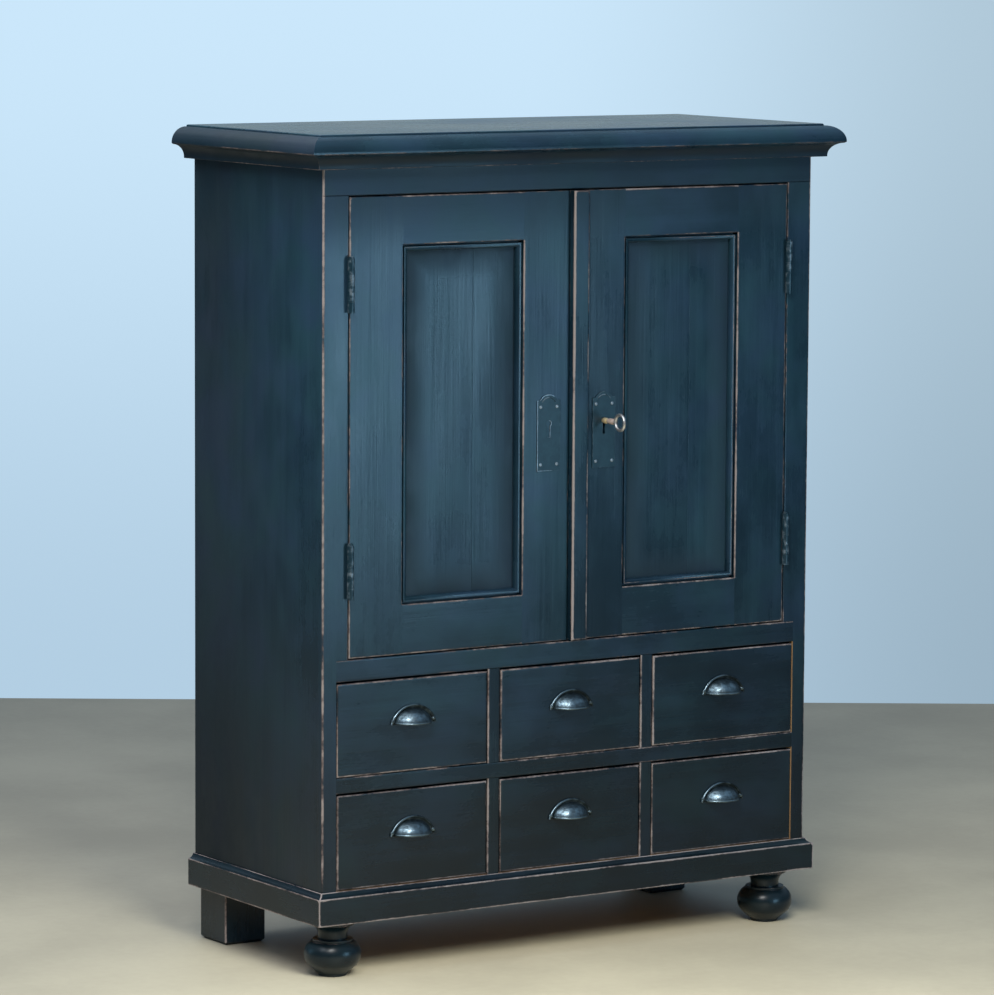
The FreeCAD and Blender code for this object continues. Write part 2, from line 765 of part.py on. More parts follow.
# Escutcheon plates: an arched plate on each meeting stile; only the right one's keyhole goes through the door
def keyhole_body(name, middle, start, length):
    """A round hole over a slot, drawn on the front and carried back from a start depth."""
    shoulder = "z_key - sqrt(keyhole_radius ^ 2 - (keyhole_slot_width / 2) ^ 2)"
    right = f"{middle} + keyhole_slot_width / 2"
    left = f"{middle} - keyhole_slot_width / 2"
    foot = "z_key - keyhole_slot_drop"
    body = new_body(name)
    corners = [(right, foot), (right, shoulder), (left, shoulder), (left, foot)]
    sketch = new_sketch(body, f"{name}_outline", "XZ_Plane", corners, {1: ("keyhole_radius", True, True)})
    pad(body, sketch, length, flip=True)
    body.setExpression("Placement.Base.y", bind(start))
    return body


def make_plate(name, middle):
    shoulder = "z_plate + plate_shoulder_height"
    arch = "(plate_arch_width ^ 2 / 4 + plate_arch_rise ^ 2) / (2 * plate_arch_rise)"
    corners = [
        (f"{middle} - plate_width / 2", "z_plate"),
        (f"{middle} + plate_width / 2", "z_plate"),
        (f"{middle} + plate_width / 2", shoulder),
        (f"{middle} + plate_arch_width / 2", shoulder),
        (f"{middle} - plate_arch_width / 2", shoulder),
        (f"{middle} - plate_width / 2", shoulder),
    ]
    body = new_body(name)
    sketch = new_sketch(body, f"{name}_outline", "XZ_Plane", corners, {3: (arch, True, False)})
    pad(body, sketch, "plate_thick")
    body.setExpression("Placement.Base.y", bind("y_front"))
    return body


def plate_nails(name, middle):
    nails = []
    shanks = []
    for end, z in (("low", "z_plate + nail_inset_end"),
                   ("high", "z_plate + plate_shoulder_height - nail_inset_end")):
        for side, sign in (("left", "-"), ("right", "+")):
            x = f"{middle} {sign} (plate_width / 2 - nail_inset_side)"
            face = "y_front - plate_thick"
            nail, shank = fastener(f"{name}_{end}_{side}_nail", "nail", x, face, z)
            nails.append(nail)
            shanks.append(shank)
    return nails, shanks


LEFT_NAILS, LEFT_SHANKS = plate_nails("left_plate", "-left_plate_x")
RIGHT_NAILS, RIGHT_SHANKS = plate_nails("right_plate", "right_plate_x")
KEYHOLE = keyhole_body("keyhole", "right_plate_x", "y_front - plate_thick", "plate_thick + door_thick")


def make_escutcheons():
    blind = keyhole_body("blind_keyhole", "-left_plate_x", "y_front - plate_thick", "plate_thick")
    left = cut("left_plate", make_plate("left_plate_flat", "-left_plate_x"), [blind] + LEFT_SHANKS)
    node(group("left_escutcheon", [left] + LEFT_NAILS))
    right = cut("right_plate", make_plate("right_plate_flat", "right_plate_x"), [KEYHOLE] + RIGHT_SHANKS)
    node(group("right_escutcheon", [right] + RIGHT_NAILS))


make_escutcheons()


# Doors: stiles, tenoned rails, a grooved-in panel and the moulding planted round it
def make_door_rail(name, opening, height, panel):
    face = board(f"{name}_face", opening, ("y_front", "y_door_back"), height)
    middle = "y_front + door_thick / 2"
    tenon = board(
        f"{name}_tenon",
        (f"{opening[0]} - door_tenon_length", f"{opening[1]} + door_tenon_length"),
        (f"{middle} - door_tenon_thick / 2", f"{middle} + door_tenon_thick / 2"),
        (f"{height[0]} + door_tenon_shoulder", f"{height[1]} - door_tenon_shoulder"),
    )
    return cut(name, fuse(f"{name}_blank", [face, tenon]), [panel])


def make_panel_moulding(name, opening):
    """Four mitred strips against the stiles and rails, each with its inner front edge rounded over."""
    (left, right), (low, high) = opening, ("z_panel_low", "z_panel_high")
    outer = [(left, low), (right, low), (right, high), (left, high)]
    width = "moulding_width"
    inner = [
        (f"{left} + {width}", f"{low} + {width}"),
        (f"{right} - {width}", f"{low} + {width}"),
        (f"{right} - {width}", f"{high} - {width}"),
        (f"{left} + {width}", f"{high} - {width}"),
    ]
    strips = []
    for number in range(len(outer)):
        following = (number + 1) % len(outer)
        corners = [outer[number], outer[following], inner[following], inner[number]]
        strip = new_body(f"{name}_{number + 1}")
        sketch = new_sketch(strip, f"{name}_{number + 1}_outline", "XZ_Plane", corners)
        blank = pad(strip, sketch, "panel_recess - moulding_quirk", flip=True)
        strip.setExpression("Placement.Base.y", bind("y_front + moulding_quirk"))
        DOCUMENT.recompute()
        ends = [Vector(value(x), 0, value(z)) for x, z in (inner[number], inner[following])]
        middle = (ends[0] + ends[1]) / 2
        edges = blank.Shape.Edges
        nearest = min(range(len(edges)), key=lambda edge: edges[edge].CenterOfMass.distanceToPoint(middle))
        rounded = strip.newObject("PartDesign::Fillet", f"{name}_{number + 1}_round")
        rounded.Base = (blank, [f"Edge{nearest + 1}"])
        rounded.setExpression("Radius", bind("moulding_round"))
        strips.append(strip)
    return strips


def make_door(side, hinge_x, meet_x, opening, hinge_tools, meet_tools):
    panel = board(
        f"{side}_panel_board",
        (f"{opening[0]} - panel_groove", f"{opening[1]} + panel_groove"),
        ("y_front + panel_recess", "y_front + panel_recess + panel_thick"),
        ("z_panel_low - panel_groove", "z_panel_high + panel_groove"),
    )
    node(group(f"{side}_panel", [panel] + make_panel_moulding(f"{side}_moulding", opening)))
    top = make_door_rail(f"{side}_top_rail", opening, ("z_panel_high", "z_door_high"), panel)
    bottom = make_door_rail(f"{side}_bottom_rail", opening, ("z_door_low", "z_panel_low"), panel)
    node(group(f"{side}_door_rails", [top, bottom]))
    for name, span, tools in (("hinge", hinge_x, hinge_tools), ("meeting", meet_x, meet_tools)):
        blank = board(
            f"{side}_{name}_blank", span, ("y_front", "y_door_back"), ("z_door_low", "z_door_high")
        )
        node(cut(f"{side}_{name}_stile", blank, [top, bottom, panel] + tools))


def make_doors():
    left_plates = [mirror(f"{plate.Name}_left", plate) for plate in DOOR_PLATES]
    left_hinge = ("-x_leaf", "-x_leaf + hinge_stile_width")
    left_meet = ("x_meet_left - left_meeting_width", "x_meet_left")
    make_door("left", left_hinge, left_meet, (left_hinge[1], left_meet[0]), left_plates, LEFT_SHANKS)
    right_meet = ("x_meet_right", "x_meet_right + right_meeting_width")
    right_hinge = ("x_leaf - hinge_stile_width", "x_leaf")
    meet_tools = [KEYHOLE] + RIGHT_SHANKS
    make_door("right", right_hinge, right_meet, (right_meet[1], right_hinge[0]), DOOR_PLATES, meet_tools)


def make_cover_strip():
    """The rounded strip that covers the line where the doors meet."""
    strip_x = ("x_meet_right", "x_meet_right + strip_width")
    blank = board("strip_blank", strip_x, ("y_front - strip_proud", "y_front"), ("z_door_low", "z_door_high"))
    DOCUMENT.recompute()
    front = value("y_front - strip_proud / 2")
    long_edges = [
        number for number, edge in enumerate(blank.Shape.Edges, start=1)
        if edge.BoundBox.YMax < front and edge.BoundBox.ZLength > value("strip_width")
    ]
    strip = DOCUMENT.addObject("Part::Fillet", "cover_strip")
    strip.Base = blank
    radius = value("strip_round")
    strip.Edges = [(number, radius, radius) for number in long_edges]
    node(strip)


make_doors()
make_cover_strip()


# Lock on the back of the right door
def make_lock():
    case_x = ("x_meet_right + lock_case_inset", "x_meet_right + lock_case_inset + lock_case_width")
    case_y = ("y_door_back", "y_door_back + lock_case_depth")
    case_z = ("z_key - lock_case_below", "z_key + lock_case_above")
    hollow = board(
        "lock_hollow",
        (f"{case_x[0]} + lock_case_wall", f"{case_x[1]} - lock_case_wall"),
        (case_y[0], f"{case_y[1]} - lock_case_wall"),
        (f"{case_z[0]} + lock_case_wall", f"{case_z[1]} - lock_case_wall"),
    )
    bolt_x = (case_x[0], f"{case_x[0]} + lock_bolt_length")
    bolt_y = ("y_door_back + lock_bolt_setback", "y_door_back + lock_bolt_setback + lock_bolt_thick")
    bolt_z = ("z_key + lock_bolt_rise", "z_key + lock_bolt_rise + lock_bolt_height")
    node(board("lock_bolt", bolt_x, bolt_y, bolt_z))
    slot_y, slot_z = (
        (f"{low} - lock_bolt_clearance", f"{high} + lock_bolt_clearance") for low, high in (bolt_y, bolt_z)
    )
    slot = board("lock_slot", (case_x[0], f"{case_x[0]} + lock_case_wall"), slot_y, slot_z)
    tip_at = ("right_plate_x", f"{case_y[1]} - lock_case_wall", "z_key")
    tip_hole = rod("lock_tip_hole", "key_tip_radius + key_tip_clearance", "lock_case_wall", tip_at, (0, 1, 0))
    shell = cut("lock_shell", board("lock_block", case_x, case_y, case_z), [hollow, slot, tip_hole])
    guide_x = (f"{case_x[0]} + lock_guide_start", f"{case_x[0]} + lock_guide_start + lock_guide_length")
    guide = board(
        "lock_guide",
        guide_x,
        (bolt_y[0], f"{case_y[1]} - lock_case_wall"),
        (f"{slot_z[0]} - lock_guide_thick", slot_z[0]),
    )
    node(fuse("lock_case", [shell, guide]))


def make_key():
    """Bow ring, collar and shaft in line, with the bit hanging down inside the lock."""
    axis = (0, 1, 0)
    bow = DOCUMENT.addObject("Part::Torus", "key_bow")
    bow.Placement = Placement(Vector(), Rotation(Vector(0, 0, 1), Vector(1, 0, 0)))
    bow.setExpression("Radius1", bind("key_bow_radius"))
    bow.setExpression("Radius2", bind("key_bow_wire"))
    place(bow, "right_plate_x", "y_front - key_bow_distance", "z_key")
    shaft_start = ("right_plate_x", "y_front - key_bow_distance + key_bow_radius", "z_key")
    tip_start = ("right_plate_x", "y_door_back + lock_case_depth - lock_case_wall", "z_key")
    shaft_end = f"{tip_start[1]} - lock_case_wall"
    shaft = rod("key_shaft", "key_shaft_radius", f"{shaft_end} - ({shaft_start[1]})", shaft_start, axis)
    tip_length = "2 * lock_case_wall"
    tip = rod("key_tip", "key_tip_radius", tip_length, ("right_plate_x", shaft_end, "z_key"), axis)
    collar_at = ("right_plate_x", "y_front - key_collar_distance", "z_key")
    collar = rod("key_collar", "key_collar_radius", "key_collar_length", collar_at, axis)
    bit_start = "y_door_back + key_bit_setback"
    bit = board(
        "key_bit",
        ("right_plate_x - key_bit_thick / 2", "right_plate_x + key_bit_thick / 2"),
        (bit_start, f"{bit_start} + key_bit_length"),
        ("z_key - key_bit_drop", "z_key"),
    )
    node(fuse("key", [bow, shaft, tip, collar, bit]))


make_lock()
make_key()


# Sliding bolt on the back of the left door, which shoots up into the door stop
def make_left_bolt():
    plate_x = ("x_bolt - bolt_plate_width / 2", "x_bolt + bolt_plate_width / 2")
    plate_z = ("z_bolt_plate", "z_bolt_plate + bolt_plate_height")
    plate_y = ("y_door_back", "y_door_back + bolt_plate_thick")
    staple_x = ("x_bolt - bolt_staple_width / 2", "x_bolt + bolt_staple_width / 2")
    staple_y = (plate_y[1], "y_bolt + bolt_rod_radius + bolt_staple_wall")
    staple_low = f"{plate_z[0]} + bolt_staple_inset"
    staple_high = f"{plate_z[1]} - bolt_staple_inset - bolt_staple_height"
    pieces = [board("bolt_backplate", plate_x, plate_y, plate_z)]
    for end, low in (("low", staple_low), ("high", staple_high)):
        pieces.append(board(f"bolt_{end}_staple", staple_x, staple_y, (low, f"{low} + bolt_staple_height")))
    start = ("x_bolt", "y_bolt", plate_z[0])
    bore = rod("bolt_bore", "bolt_rod_radius + bolt_rod_clearance", "bolt_plate_height", start)
    node(cut("left_bolt_plate", fuse("bolt_plate_blank", pieces), [bore]))
    foot = ("x_bolt", "y_bolt", "z_bolt_tip - bolt_rod_length")
    shank = rod("bolt_shank", "bolt_rod_radius", "bolt_rod_length", foot)
    knob_at = ("x_bolt", "y_bolt", "z_bolt_plate + (bolt_plate_height - bolt_throw) / 2")
    knob = rod("bolt_knob", "bolt_knob_radius", "bolt_knob_length", knob_at, (0, 1, 0))
    node(fuse("left_bolt", [shank, knob]))


def make_door_stop():
    height = ("z_top_rail - stop_drop", "z_top_rail + stop_lap")
    blank = board("stop_blank", both_sides("x_jamb"), ("y_stop", "y_stop + stop_thick"), height)
    hole_length = "bolt_throw + bolt_stop_gap"
    hole_at = ("x_bolt", "y_bolt", "z_top_rail - stop_drop")
    hole = rod("stop_hole", "bolt_rod_radius + stop_gap", hole_length, hole_at)
    node(cut("door_stop", blank, [hole]))


make_left_bolt()
make_door_stop()


# Cup pulls: one pattern pull and its screws at the origin, hung on each drawer front
def pull_dome(name, inset):
    """A turned dome whose axis lies behind the drawer's face, so that it stands less proud than wide."""
    plan = f"(pull_plan_radius - {inset})"
    height = f"(pull_dome_height - {inset})"
    reach = f"({plan} - pull_crown_radius)"
    corners = [("0", "0"), (plan, "0"), ("pull_crown_radius", height), ("0", height)]
    arcs = {1: (f"({reach} ^ 2 + {height} ^ 2) / (2 * {reach})", True, False)}
    body = turned_body(name, corners, arcs)
    body.setExpression("Placement.Base.y", bind("pull_plan_radius - pull_proud"))
    return body


def make_pattern_pull():
    """A half dome open below, with a flat flange and two eared ends, and its two screws."""
    reach = both_sides("pull_width")
    proud = board("pull_proud_space", reach, ("-pull_proud", "0"), ("0", "pull_height"))
    cup = common("pull_cup", [pull_dome("pull_outside", "0"), proud])
    flange = new_body("pull_flange_plate")
    radius = "(pull_width ^ 2 / 4 + pull_height ^ 2) / (2 * pull_height)"
    corners = [("pull_width / 2", "0"), ("0", "pull_height"), ("-pull_width / 2", "0")]
    arcs = {0: (radius, True, False), 1: (radius, True, False)}
    sketch = new_sketch(flange, "pull_flange_outline", "XZ_Plane", corners, arcs)
    pad(flange, sketch, "pull_flange_thick")
    pieces = [cup, flange]
    screws = []
    shanks = []
    for side, sign in (("left", "-"), ("right", "")):
        ear_at = (f"{sign}(pull_width / 2 - pull_screw_inset)", "-pull_flange_thick", "pull_screw_rise")
        pieces.append(rod(f"pull_{side}_ear", "pull_ear_radius", "pull_flange_thick", ear_at, (0, 1, 0)))
        screw, shank = fastener(f"pull_{side}_screw", "screw", *ear_at)
        screws.append(screw)
        shanks.append(shank)
    hollow = cut("pull_hollow", fuse("pull_blank", pieces), [pull_dome("pull_inside", "pull_shell")])
    return cut("pull_drilled", hollow, shanks), screws, shanks


PULL, PULL_SCREWS, PULL_SHANKS = make_pattern_pull()


def hang_pull(name, middle, low):
    """A pull on a drawer front, and the screw holes that it needs there."""
    pull = node(group(name, [PULL] + PULL_SCREWS))
    holes = group(f"{name}_holes", PULL_SHANKS)
    for hung in (pull, holes):
        place(hung, middle, "y_front", low)
    return holes


# Drawers: dovetailed sides, a grooved-in bottom and a housed back
def make_drawer_side(name, side_x, side_z, tools):
    y_root = "y_front + front_thick"
    pieces = [board(f"{name}_board", side_x, (y_root, "y_drawer_end"), side_z)]
    height = f"(({side_z[1]}) - ({side_z[0]}))"
    for number in range(int(value("tail_count"))):
        middle = f"{side_z[0]} + {height} * ({number} + 0.5) / tail_count"
        tail = DOCUMENT.addObject("Part::Wedge", f"{name}_tail_{number + 1}")
        shape = {
            "Xmin": "0",
            "X2min": "0",
            "Xmax": "drawer_side_thick",
            "X2max": "drawer_side_thick",
            "Ymin": "0",
            "Ymax": "tail_length",
            "Zmin": "-tail_tip_width / 2",
            "Zmax": "tail_tip_width / 2",
            "Z2min": "-tail_root_width / 2",
            "Z2max": "tail_root_width / 2",
        }
        for size, text in shape.items():
            tail.setExpression(size, bind(text))
        place(tail, side_x[0], f"{y_root} - tail_length", middle)
        pieces.append(tail)
    blank = fuse(f"{name}_blank", pieces)
    return blank, cut(name, blank, tools)


def make_drawer(name, opening_x, opening_z):
    front_x = (f"{opening_x[0]} + drawer_gap", f"{opening_x[1]} - drawer_gap")
    front_z = (f"{opening_z[0]} + drawer_foot_gap", f"{opening_z[1]} - drawer_head_gap")
    side_z = (f"{opening_z[0]} + run_gap", f"{front_z[1]} - drawer_side_drop")
    bottom_low = f"{side_z[0]} + drawer_bottom_rise"
    bottom_high = f"{bottom_low} + drawer_bottom_thick"
    inside_x = (f"{front_x[0]} + drawer_side_thick", f"{front_x[1]} - drawer_side_thick")
    bottom = board(
        f"{name}_bottom",
        (f"{inside_x[0]} - drawer_bottom_groove", f"{inside_x[1]} + drawer_bottom_groove"),
        ("y_front + front_thick - drawer_bottom_groove", "y_drawer_end"),
        (bottom_low, bottom_high),
    )
    back = board(
        f"{name}_back",
        (f"{inside_x[0]} - drawer_back_dado", f"{inside_x[1]} + drawer_back_dado"),
        ("y_drawer_end - drawer_back_inset - drawer_back_thick", "y_drawer_end - drawer_back_inset"),
        (bottom_high, f"{side_z[1]} - drawer_back_drop"),
    )
    spans = {"left": (front_x[0], inside_x[0]), "right": (inside_x[1], front_x[1])}
    sides = {}
    blanks = []
    for side, span in spans.items():
        blank, sides[side] = make_drawer_side(f"{name}_{side}_side", span, side_z, [bottom, back])
        blanks.append(blank)
    node(group(f"{name}_box", [sides["left"], sides["right"], back, bottom]))
    middle = f"({opening_x[0]} + ({opening_x[1]})) / 2"
    pull_low = f"({opening_z[0]} + {opening_z[1]}) / 2 + pull_lift"
    holes = hang_pull(f"{name}_pull", middle, pull_low)
    front = board(f"{name}_front_blank", front_x, ("y_front", "y_front + front_thick"), front_z)
    node(cut(f"{name}_front", front, blanks + [bottom, holes]))


def make_drawers():
    edge = "(x_muntin + muntin_width / 2)"
    columns = {
        "left": ("-x_inner", f"-{edge}"),
        "middle": both_sides("middle_drawer_width / 2"),
        "right": (edge, "x_inner"),
    }
    rows = {"upper": ("z_upper", "z_middle_rail"), "lower": ("z_base", "z_drawer_rail")}
    for row, opening_z in rows.items():
        for column, opening_x in columns.items():
            make_drawer(f"{row}_{column}_drawer", opening_x, opening_z)


make_drawers()


# Test every object and write one file for each piece
DOCUMENT.recompute()
for thing in DOCUMENT.Objects:
    if "Invalid" in thing.State or "Error" in thing.State:
        raise RuntimeError(f"{thing.Name} did not build: {thing.State}")
for label, piece in NODES.items():
    if piece.Shape.isNull() or not piece.Shape.isValid() or not piece.Shape.Solids:
        raise RuntimeError(f"{label} has no valid shape")
os.makedirs("parts", exist_ok=True)
for label, piece in NODES.items():
    piece.Shape.exportStep(f"parts/{label}.step")
print(len(NODES), "pieces,", sum(len(piece.Shape.Solids) for piece in NODES.values()), "solids")
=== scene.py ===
# %% [markdown]
# # A painted pine cupboard
# This lesson dresses a finished construction model of an old painted cupboard: two panelled doors over six
# drawers, on two turned feet and two plain ones. The construction model is loaded first and never moved.
# Every visible piece is then given its worn paint, its eased edges and its metal, one step at a time.

# %% Load the construction model
import json
import math

import bmesh
import bpy
from mathutils import Matrix, Vector

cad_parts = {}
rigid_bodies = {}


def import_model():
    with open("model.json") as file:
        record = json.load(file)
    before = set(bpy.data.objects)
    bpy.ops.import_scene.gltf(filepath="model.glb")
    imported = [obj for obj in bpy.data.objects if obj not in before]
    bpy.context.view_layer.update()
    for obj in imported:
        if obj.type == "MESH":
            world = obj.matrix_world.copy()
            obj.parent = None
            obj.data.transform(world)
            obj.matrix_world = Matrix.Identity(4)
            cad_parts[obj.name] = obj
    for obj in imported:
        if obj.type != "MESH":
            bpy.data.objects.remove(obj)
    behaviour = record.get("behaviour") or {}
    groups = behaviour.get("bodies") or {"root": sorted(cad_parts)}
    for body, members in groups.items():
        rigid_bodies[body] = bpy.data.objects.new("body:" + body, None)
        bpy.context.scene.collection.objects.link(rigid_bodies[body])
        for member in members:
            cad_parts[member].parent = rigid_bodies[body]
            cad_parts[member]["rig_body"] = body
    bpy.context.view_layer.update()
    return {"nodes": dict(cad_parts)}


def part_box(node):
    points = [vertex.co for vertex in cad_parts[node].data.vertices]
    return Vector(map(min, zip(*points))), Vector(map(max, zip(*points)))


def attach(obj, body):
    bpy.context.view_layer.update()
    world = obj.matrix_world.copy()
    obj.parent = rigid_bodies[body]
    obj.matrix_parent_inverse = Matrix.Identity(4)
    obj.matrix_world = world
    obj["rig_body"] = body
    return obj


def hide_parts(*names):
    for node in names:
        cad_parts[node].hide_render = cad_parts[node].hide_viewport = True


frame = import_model()
MM = 0.001

# %% [markdown]
# ## Camera
# The picture was taken from the left, a little above the cupboard's top, with a long lens: upright lines
# stay upright and the depth looks short. A camera is placed by its position and three directions: to the
# right, up, and backwards. Building the matrix from those three is safer than stacking rotations, because
# each column can be read as an arrow in the room.

# %% Camera at the photograph's angle
VIEW_TURN = math.radians(32.9)
VIEW_DROP = math.radians(6.68)
VIEW_ROLL = math.radians(0.33)
VIEW_FROM = Vector((-4.3398, -6.6583, 1.6274))
LENS = 183.9
SENSOR = 36.0


def look_matrix(turn, drop, roll, place):
    """Camera matrix for a turn to the right, a drop below level and a roll."""
    ahead = Vector((math.sin(turn) * math.cos(drop), math.cos(turn) * math.cos(drop), -math.sin(drop)))
    right = Vector((math.cos(turn), -math.sin(turn), 0))
    up = right.cross(ahead)
    rolled_right = math.cos(roll) * right + math.sin(roll) * up
    rolled_up = math.cos(roll) * up - math.sin(roll) * right
    return Matrix.Translation(place) @ Matrix((rolled_right, rolled_up, -ahead)).transposed().to_4x4()


camera = bpy.data.objects.new("camera", bpy.data.cameras.new("camera"))
camera.data.lens = LENS
camera.data.sensor_width = SENSOR
camera.matrix_world = look_matrix(VIEW_TURN, VIEW_DROP, VIEW_ROLL, VIEW_FROM)
bpy.context.scene.collection.objects.link(camera)
bpy.context.scene.camera = camera
bpy.context.scene.view_settings.view_transform = "Standard"
print("camera stands", round(VIEW_FROM.length, 2), "m from the middle of the floor")

# %% [markdown]
# ## Small helpers for node trees
# Materials are made of nodes. Adding a node, setting its options and wiring its inputs are the same few lines
# every time, so helpers do them: an input that is another node's output is linked, and anything else is
# written into the socket.

# %% Node helpers


def fill(tree, node, inputs):
    """Links or fills the inputs of a node."""
    for socket, given in inputs.items():
        if isinstance(given, bpy.types.NodeSocket):
            tree.links.new(given, node.inputs[socket])
        else:
            node.inputs[socket].default_value = given
    return node


def add(tree, kind, inputs=None, **options):
    """Adds a shader node, sets its options, and links or fills its inputs."""
    node = tree.nodes.new("ShaderNode" + kind)
    for option, setting in options.items():
        setattr(node, option, setting)
    return fill(tree, node, inputs or {})


def math_node(tree, operation, first, second=0.0):
    return add(tree, "Math", {0: first, 1: second}, operation=operation).outputs[0]


def total(tree, *parts):
    """The sum of several values, each times its share."""
    made = 0.0
    for given, share in parts:
        made = math_node(tree, "ADD", math_node(tree, "MULTIPLY", given, share), made)
    return made


def blend(tree, factor, first, second, how="MIX"):
    """Mixes two colours."""
    made = add(tree, "Mix", {0: factor, 6: first, 7: second}, data_type="RGBA", blend_type=how)
    return made.outputs[2]


def ramp(tree, given, start, end, low=0.0, high=1.0):
    """A smooth step from low to high between two values."""
    sockets = {"Value": given, "From Min": start, "From Max": end, "To Min": low, "To Max": high}
    return add(tree, "MapRange", sockets, interpolation_type="SMOOTHSTEP").outputs[0]


def noise(tree, place, plank, scale, detail=3.0, roughness=0.55):
    """A soft noise that is different on each plank."""
    sockets = {"Vector": place, "W": plank, "Scale": scale, "Detail": detail, "Roughness": roughness}
    return add(tree, "TexNoise", sockets, noise_dimensions="4D").outputs["Fac"]


def stretch(tree, place, scale):
    return add(tree, "VectorMath", {0: place, 1: scale}, operation="MULTIPLY").outputs[0]


def place_on_object(tree):
    return add(tree, "TexCoord").outputs["Object"]


def carried(tree, name):
    """A value that the vertices of a piece carry."""
    return add(tree, "Attribute", attribute_name=name).outputs["Fac"]


def bump(tree, height, strength, distance, **under):
    sockets = {"Height": height, "Strength": strength, "Distance": distance, **under}
    return add(tree, "Bump", sockets).outputs[0]


def new_group(name, inputs, outputs):
    """A shader node group with its sockets, and the nodes that stand for its two ends."""
    tree = bpy.data.node_groups.new(name, "ShaderNodeTree")
    for socket, kind in inputs.items():
        tree.interface.new_socket(socket, in_out="INPUT", socket_type="NodeSocket" + kind)
    for socket, kind in outputs.items():
        tree.interface.new_socket(socket, in_out="OUTPUT", socket_type="NodeSocket" + kind)
    return tree, tree.nodes.new("NodeGroupInput").outputs, tree.nodes.new("NodeGroupOutput").inputs


def use_group(tree, group, inputs):
    return add(tree, "Group", inputs, node_tree=group).outputs


def new_material(name):
    """A node material, with its tree and its shader."""
    material = bpy.data.materials.new(name)
    material.use_nodes = True
    tree = material.node_tree
    return material, tree, tree.nodes["Principled BSDF"]


print("node helpers ready")

# %% [markdown]
# ## Floor, backdrop and lights
# A plain pale floor ends in a straight edge behind the cupboard, and the sky of the scene is a plain pale
# blue, so the two meet in one level line like a room's. The world could light everything by itself, but then
# the dark paint would look flat. A large soft light stands to the left, and a second one to the right front
# is where the satin paint mirrors it, which gives the left door its sheen and lets the right door fall dark.

# %% Floor
FLOOR_FRONT = 4.5
FLOOR_BEHIND = 2.36
FLOOR_HALF = 4.0
FLOOR_DARK = (0.235, 0.212, 0.168, 1)
FLOOR_PALE = (0.30, 0.272, 0.215, 1)


def mesh_object(name, shape):
    """Turns a bmesh into an object of the scene."""
    mesh = bpy.data.meshes.new(name)
    shape.to_mesh(mesh)
    shape.free()
    made = bpy.data.objects.new(name, mesh)
    bpy.context.scene.collection.objects.link(made)
    return made


def make_floor():
    """A rectangle of floor, turned so that its far edge is level in the picture."""
    shape = bmesh.new()
    bmesh.ops.create_grid(shape, x_segments=1, y_segments=1, size=1)
    depth = (FLOOR_FRONT + FLOOR_BEHIND) / 2
    bmesh.ops.scale(shape, vec=(FLOOR_HALF, depth, 1), verts=shape.verts)
    bmesh.ops.translate(shape, vec=(0, FLOOR_BEHIND - depth, 0), verts=shape.verts)
    bmesh.ops.rotate(shape, cent=(0, 0, 0), matrix=Matrix.Rotation(-VIEW_TURN, 3, "Z"), verts=shape.verts)
    return mesh_object("floor", shape)


def floor_finish():
    material, tree, shader = new_material("pale_floor")
    place = place_on_object(tree)
    cloud = noise(tree, place, 0.0, 2.5, 4.0)
    fleck = noise(tree, place, 3.0, 60.0, 3.0)
    tone = total(tree, (cloud, 0.8), (fleck, 0.2))
    colour = blend(tree, ramp(tree, tone, 0.3, 0.7), FLOOR_DARK, FLOOR_PALE)
    fill(tree, shader, {"Base Color": colour, "Roughness": 0.55})
    return material


floor = make_floor()
floor.data.materials.append(floor_finish())
print("floor reaches", FLOOR_BEHIND, "m behind the cupboard")

# %% Backdrop and lights
WALL_HIGH = (0.597, 0.799, 0.965, 1)
WALL_LOW = (0.45, 0.62, 0.77, 1)
WALL_SPAN = (-0.156, -0.0175)
WALL_SHADE = (0.72, 0.72, 0.71, 1)
SHADE_SPAN = (0.0, 0.11)
SKY_HIGH = (0.36, 0.50, 0.64, 1)
SKY_LOW = (0.012, 0.024, 0.036, 1)
SKY_SPAN = (-0.1, 0.9)
BLUE = (0.38, 0.72, 1.0)
PAINTED = bpy.data.collections.new("painted_woodwork")
GROUND = bpy.data.collections.new("ground")
GROUND.objects.link(floor)


def make_world():
    """A pale blue backdrop for the camera, and a gentler sky that lights the scene, mostly from above."""
    world = bpy.data.worlds.new("studio")
    world.use_nodes = True
    tree = world.node_tree
    towards = add(tree, "TexCoord").outputs["Generated"]
    height = add(tree, "SeparateXYZ", {0: towards}).outputs["Z"]
    to_right = camera.matrix_world.col[0].xyz
    across = add(tree, "VectorMath", {0: towards, 1: to_right}, operation="DOT_PRODUCT").outputs["Value"]
    wall = blend(tree, ramp(tree, height, *WALL_SPAN), WALL_LOW, WALL_HIGH)
    wall = blend(tree, ramp(tree, across, *SHADE_SPAN), wall, WALL_SHADE, "MULTIPLY")
    sky = blend(tree, ramp(tree, height, *SKY_SPAN), SKY_LOW, SKY_HIGH)
    seen = add(tree, "Background", {0: wall}).outputs[0]
    lit = add(tree, "Background", {0: sky}).outputs[0]
    eye = add(tree, "LightPath").outputs["Is Camera Ray"]
    mixed = add(tree, "MixShader", {0: eye, 1: lit, 2: seen}).outputs[0]
    tree.links.new(mixed, tree.nodes["World Output"].inputs["Surface"])
    bpy.context.scene.world = world


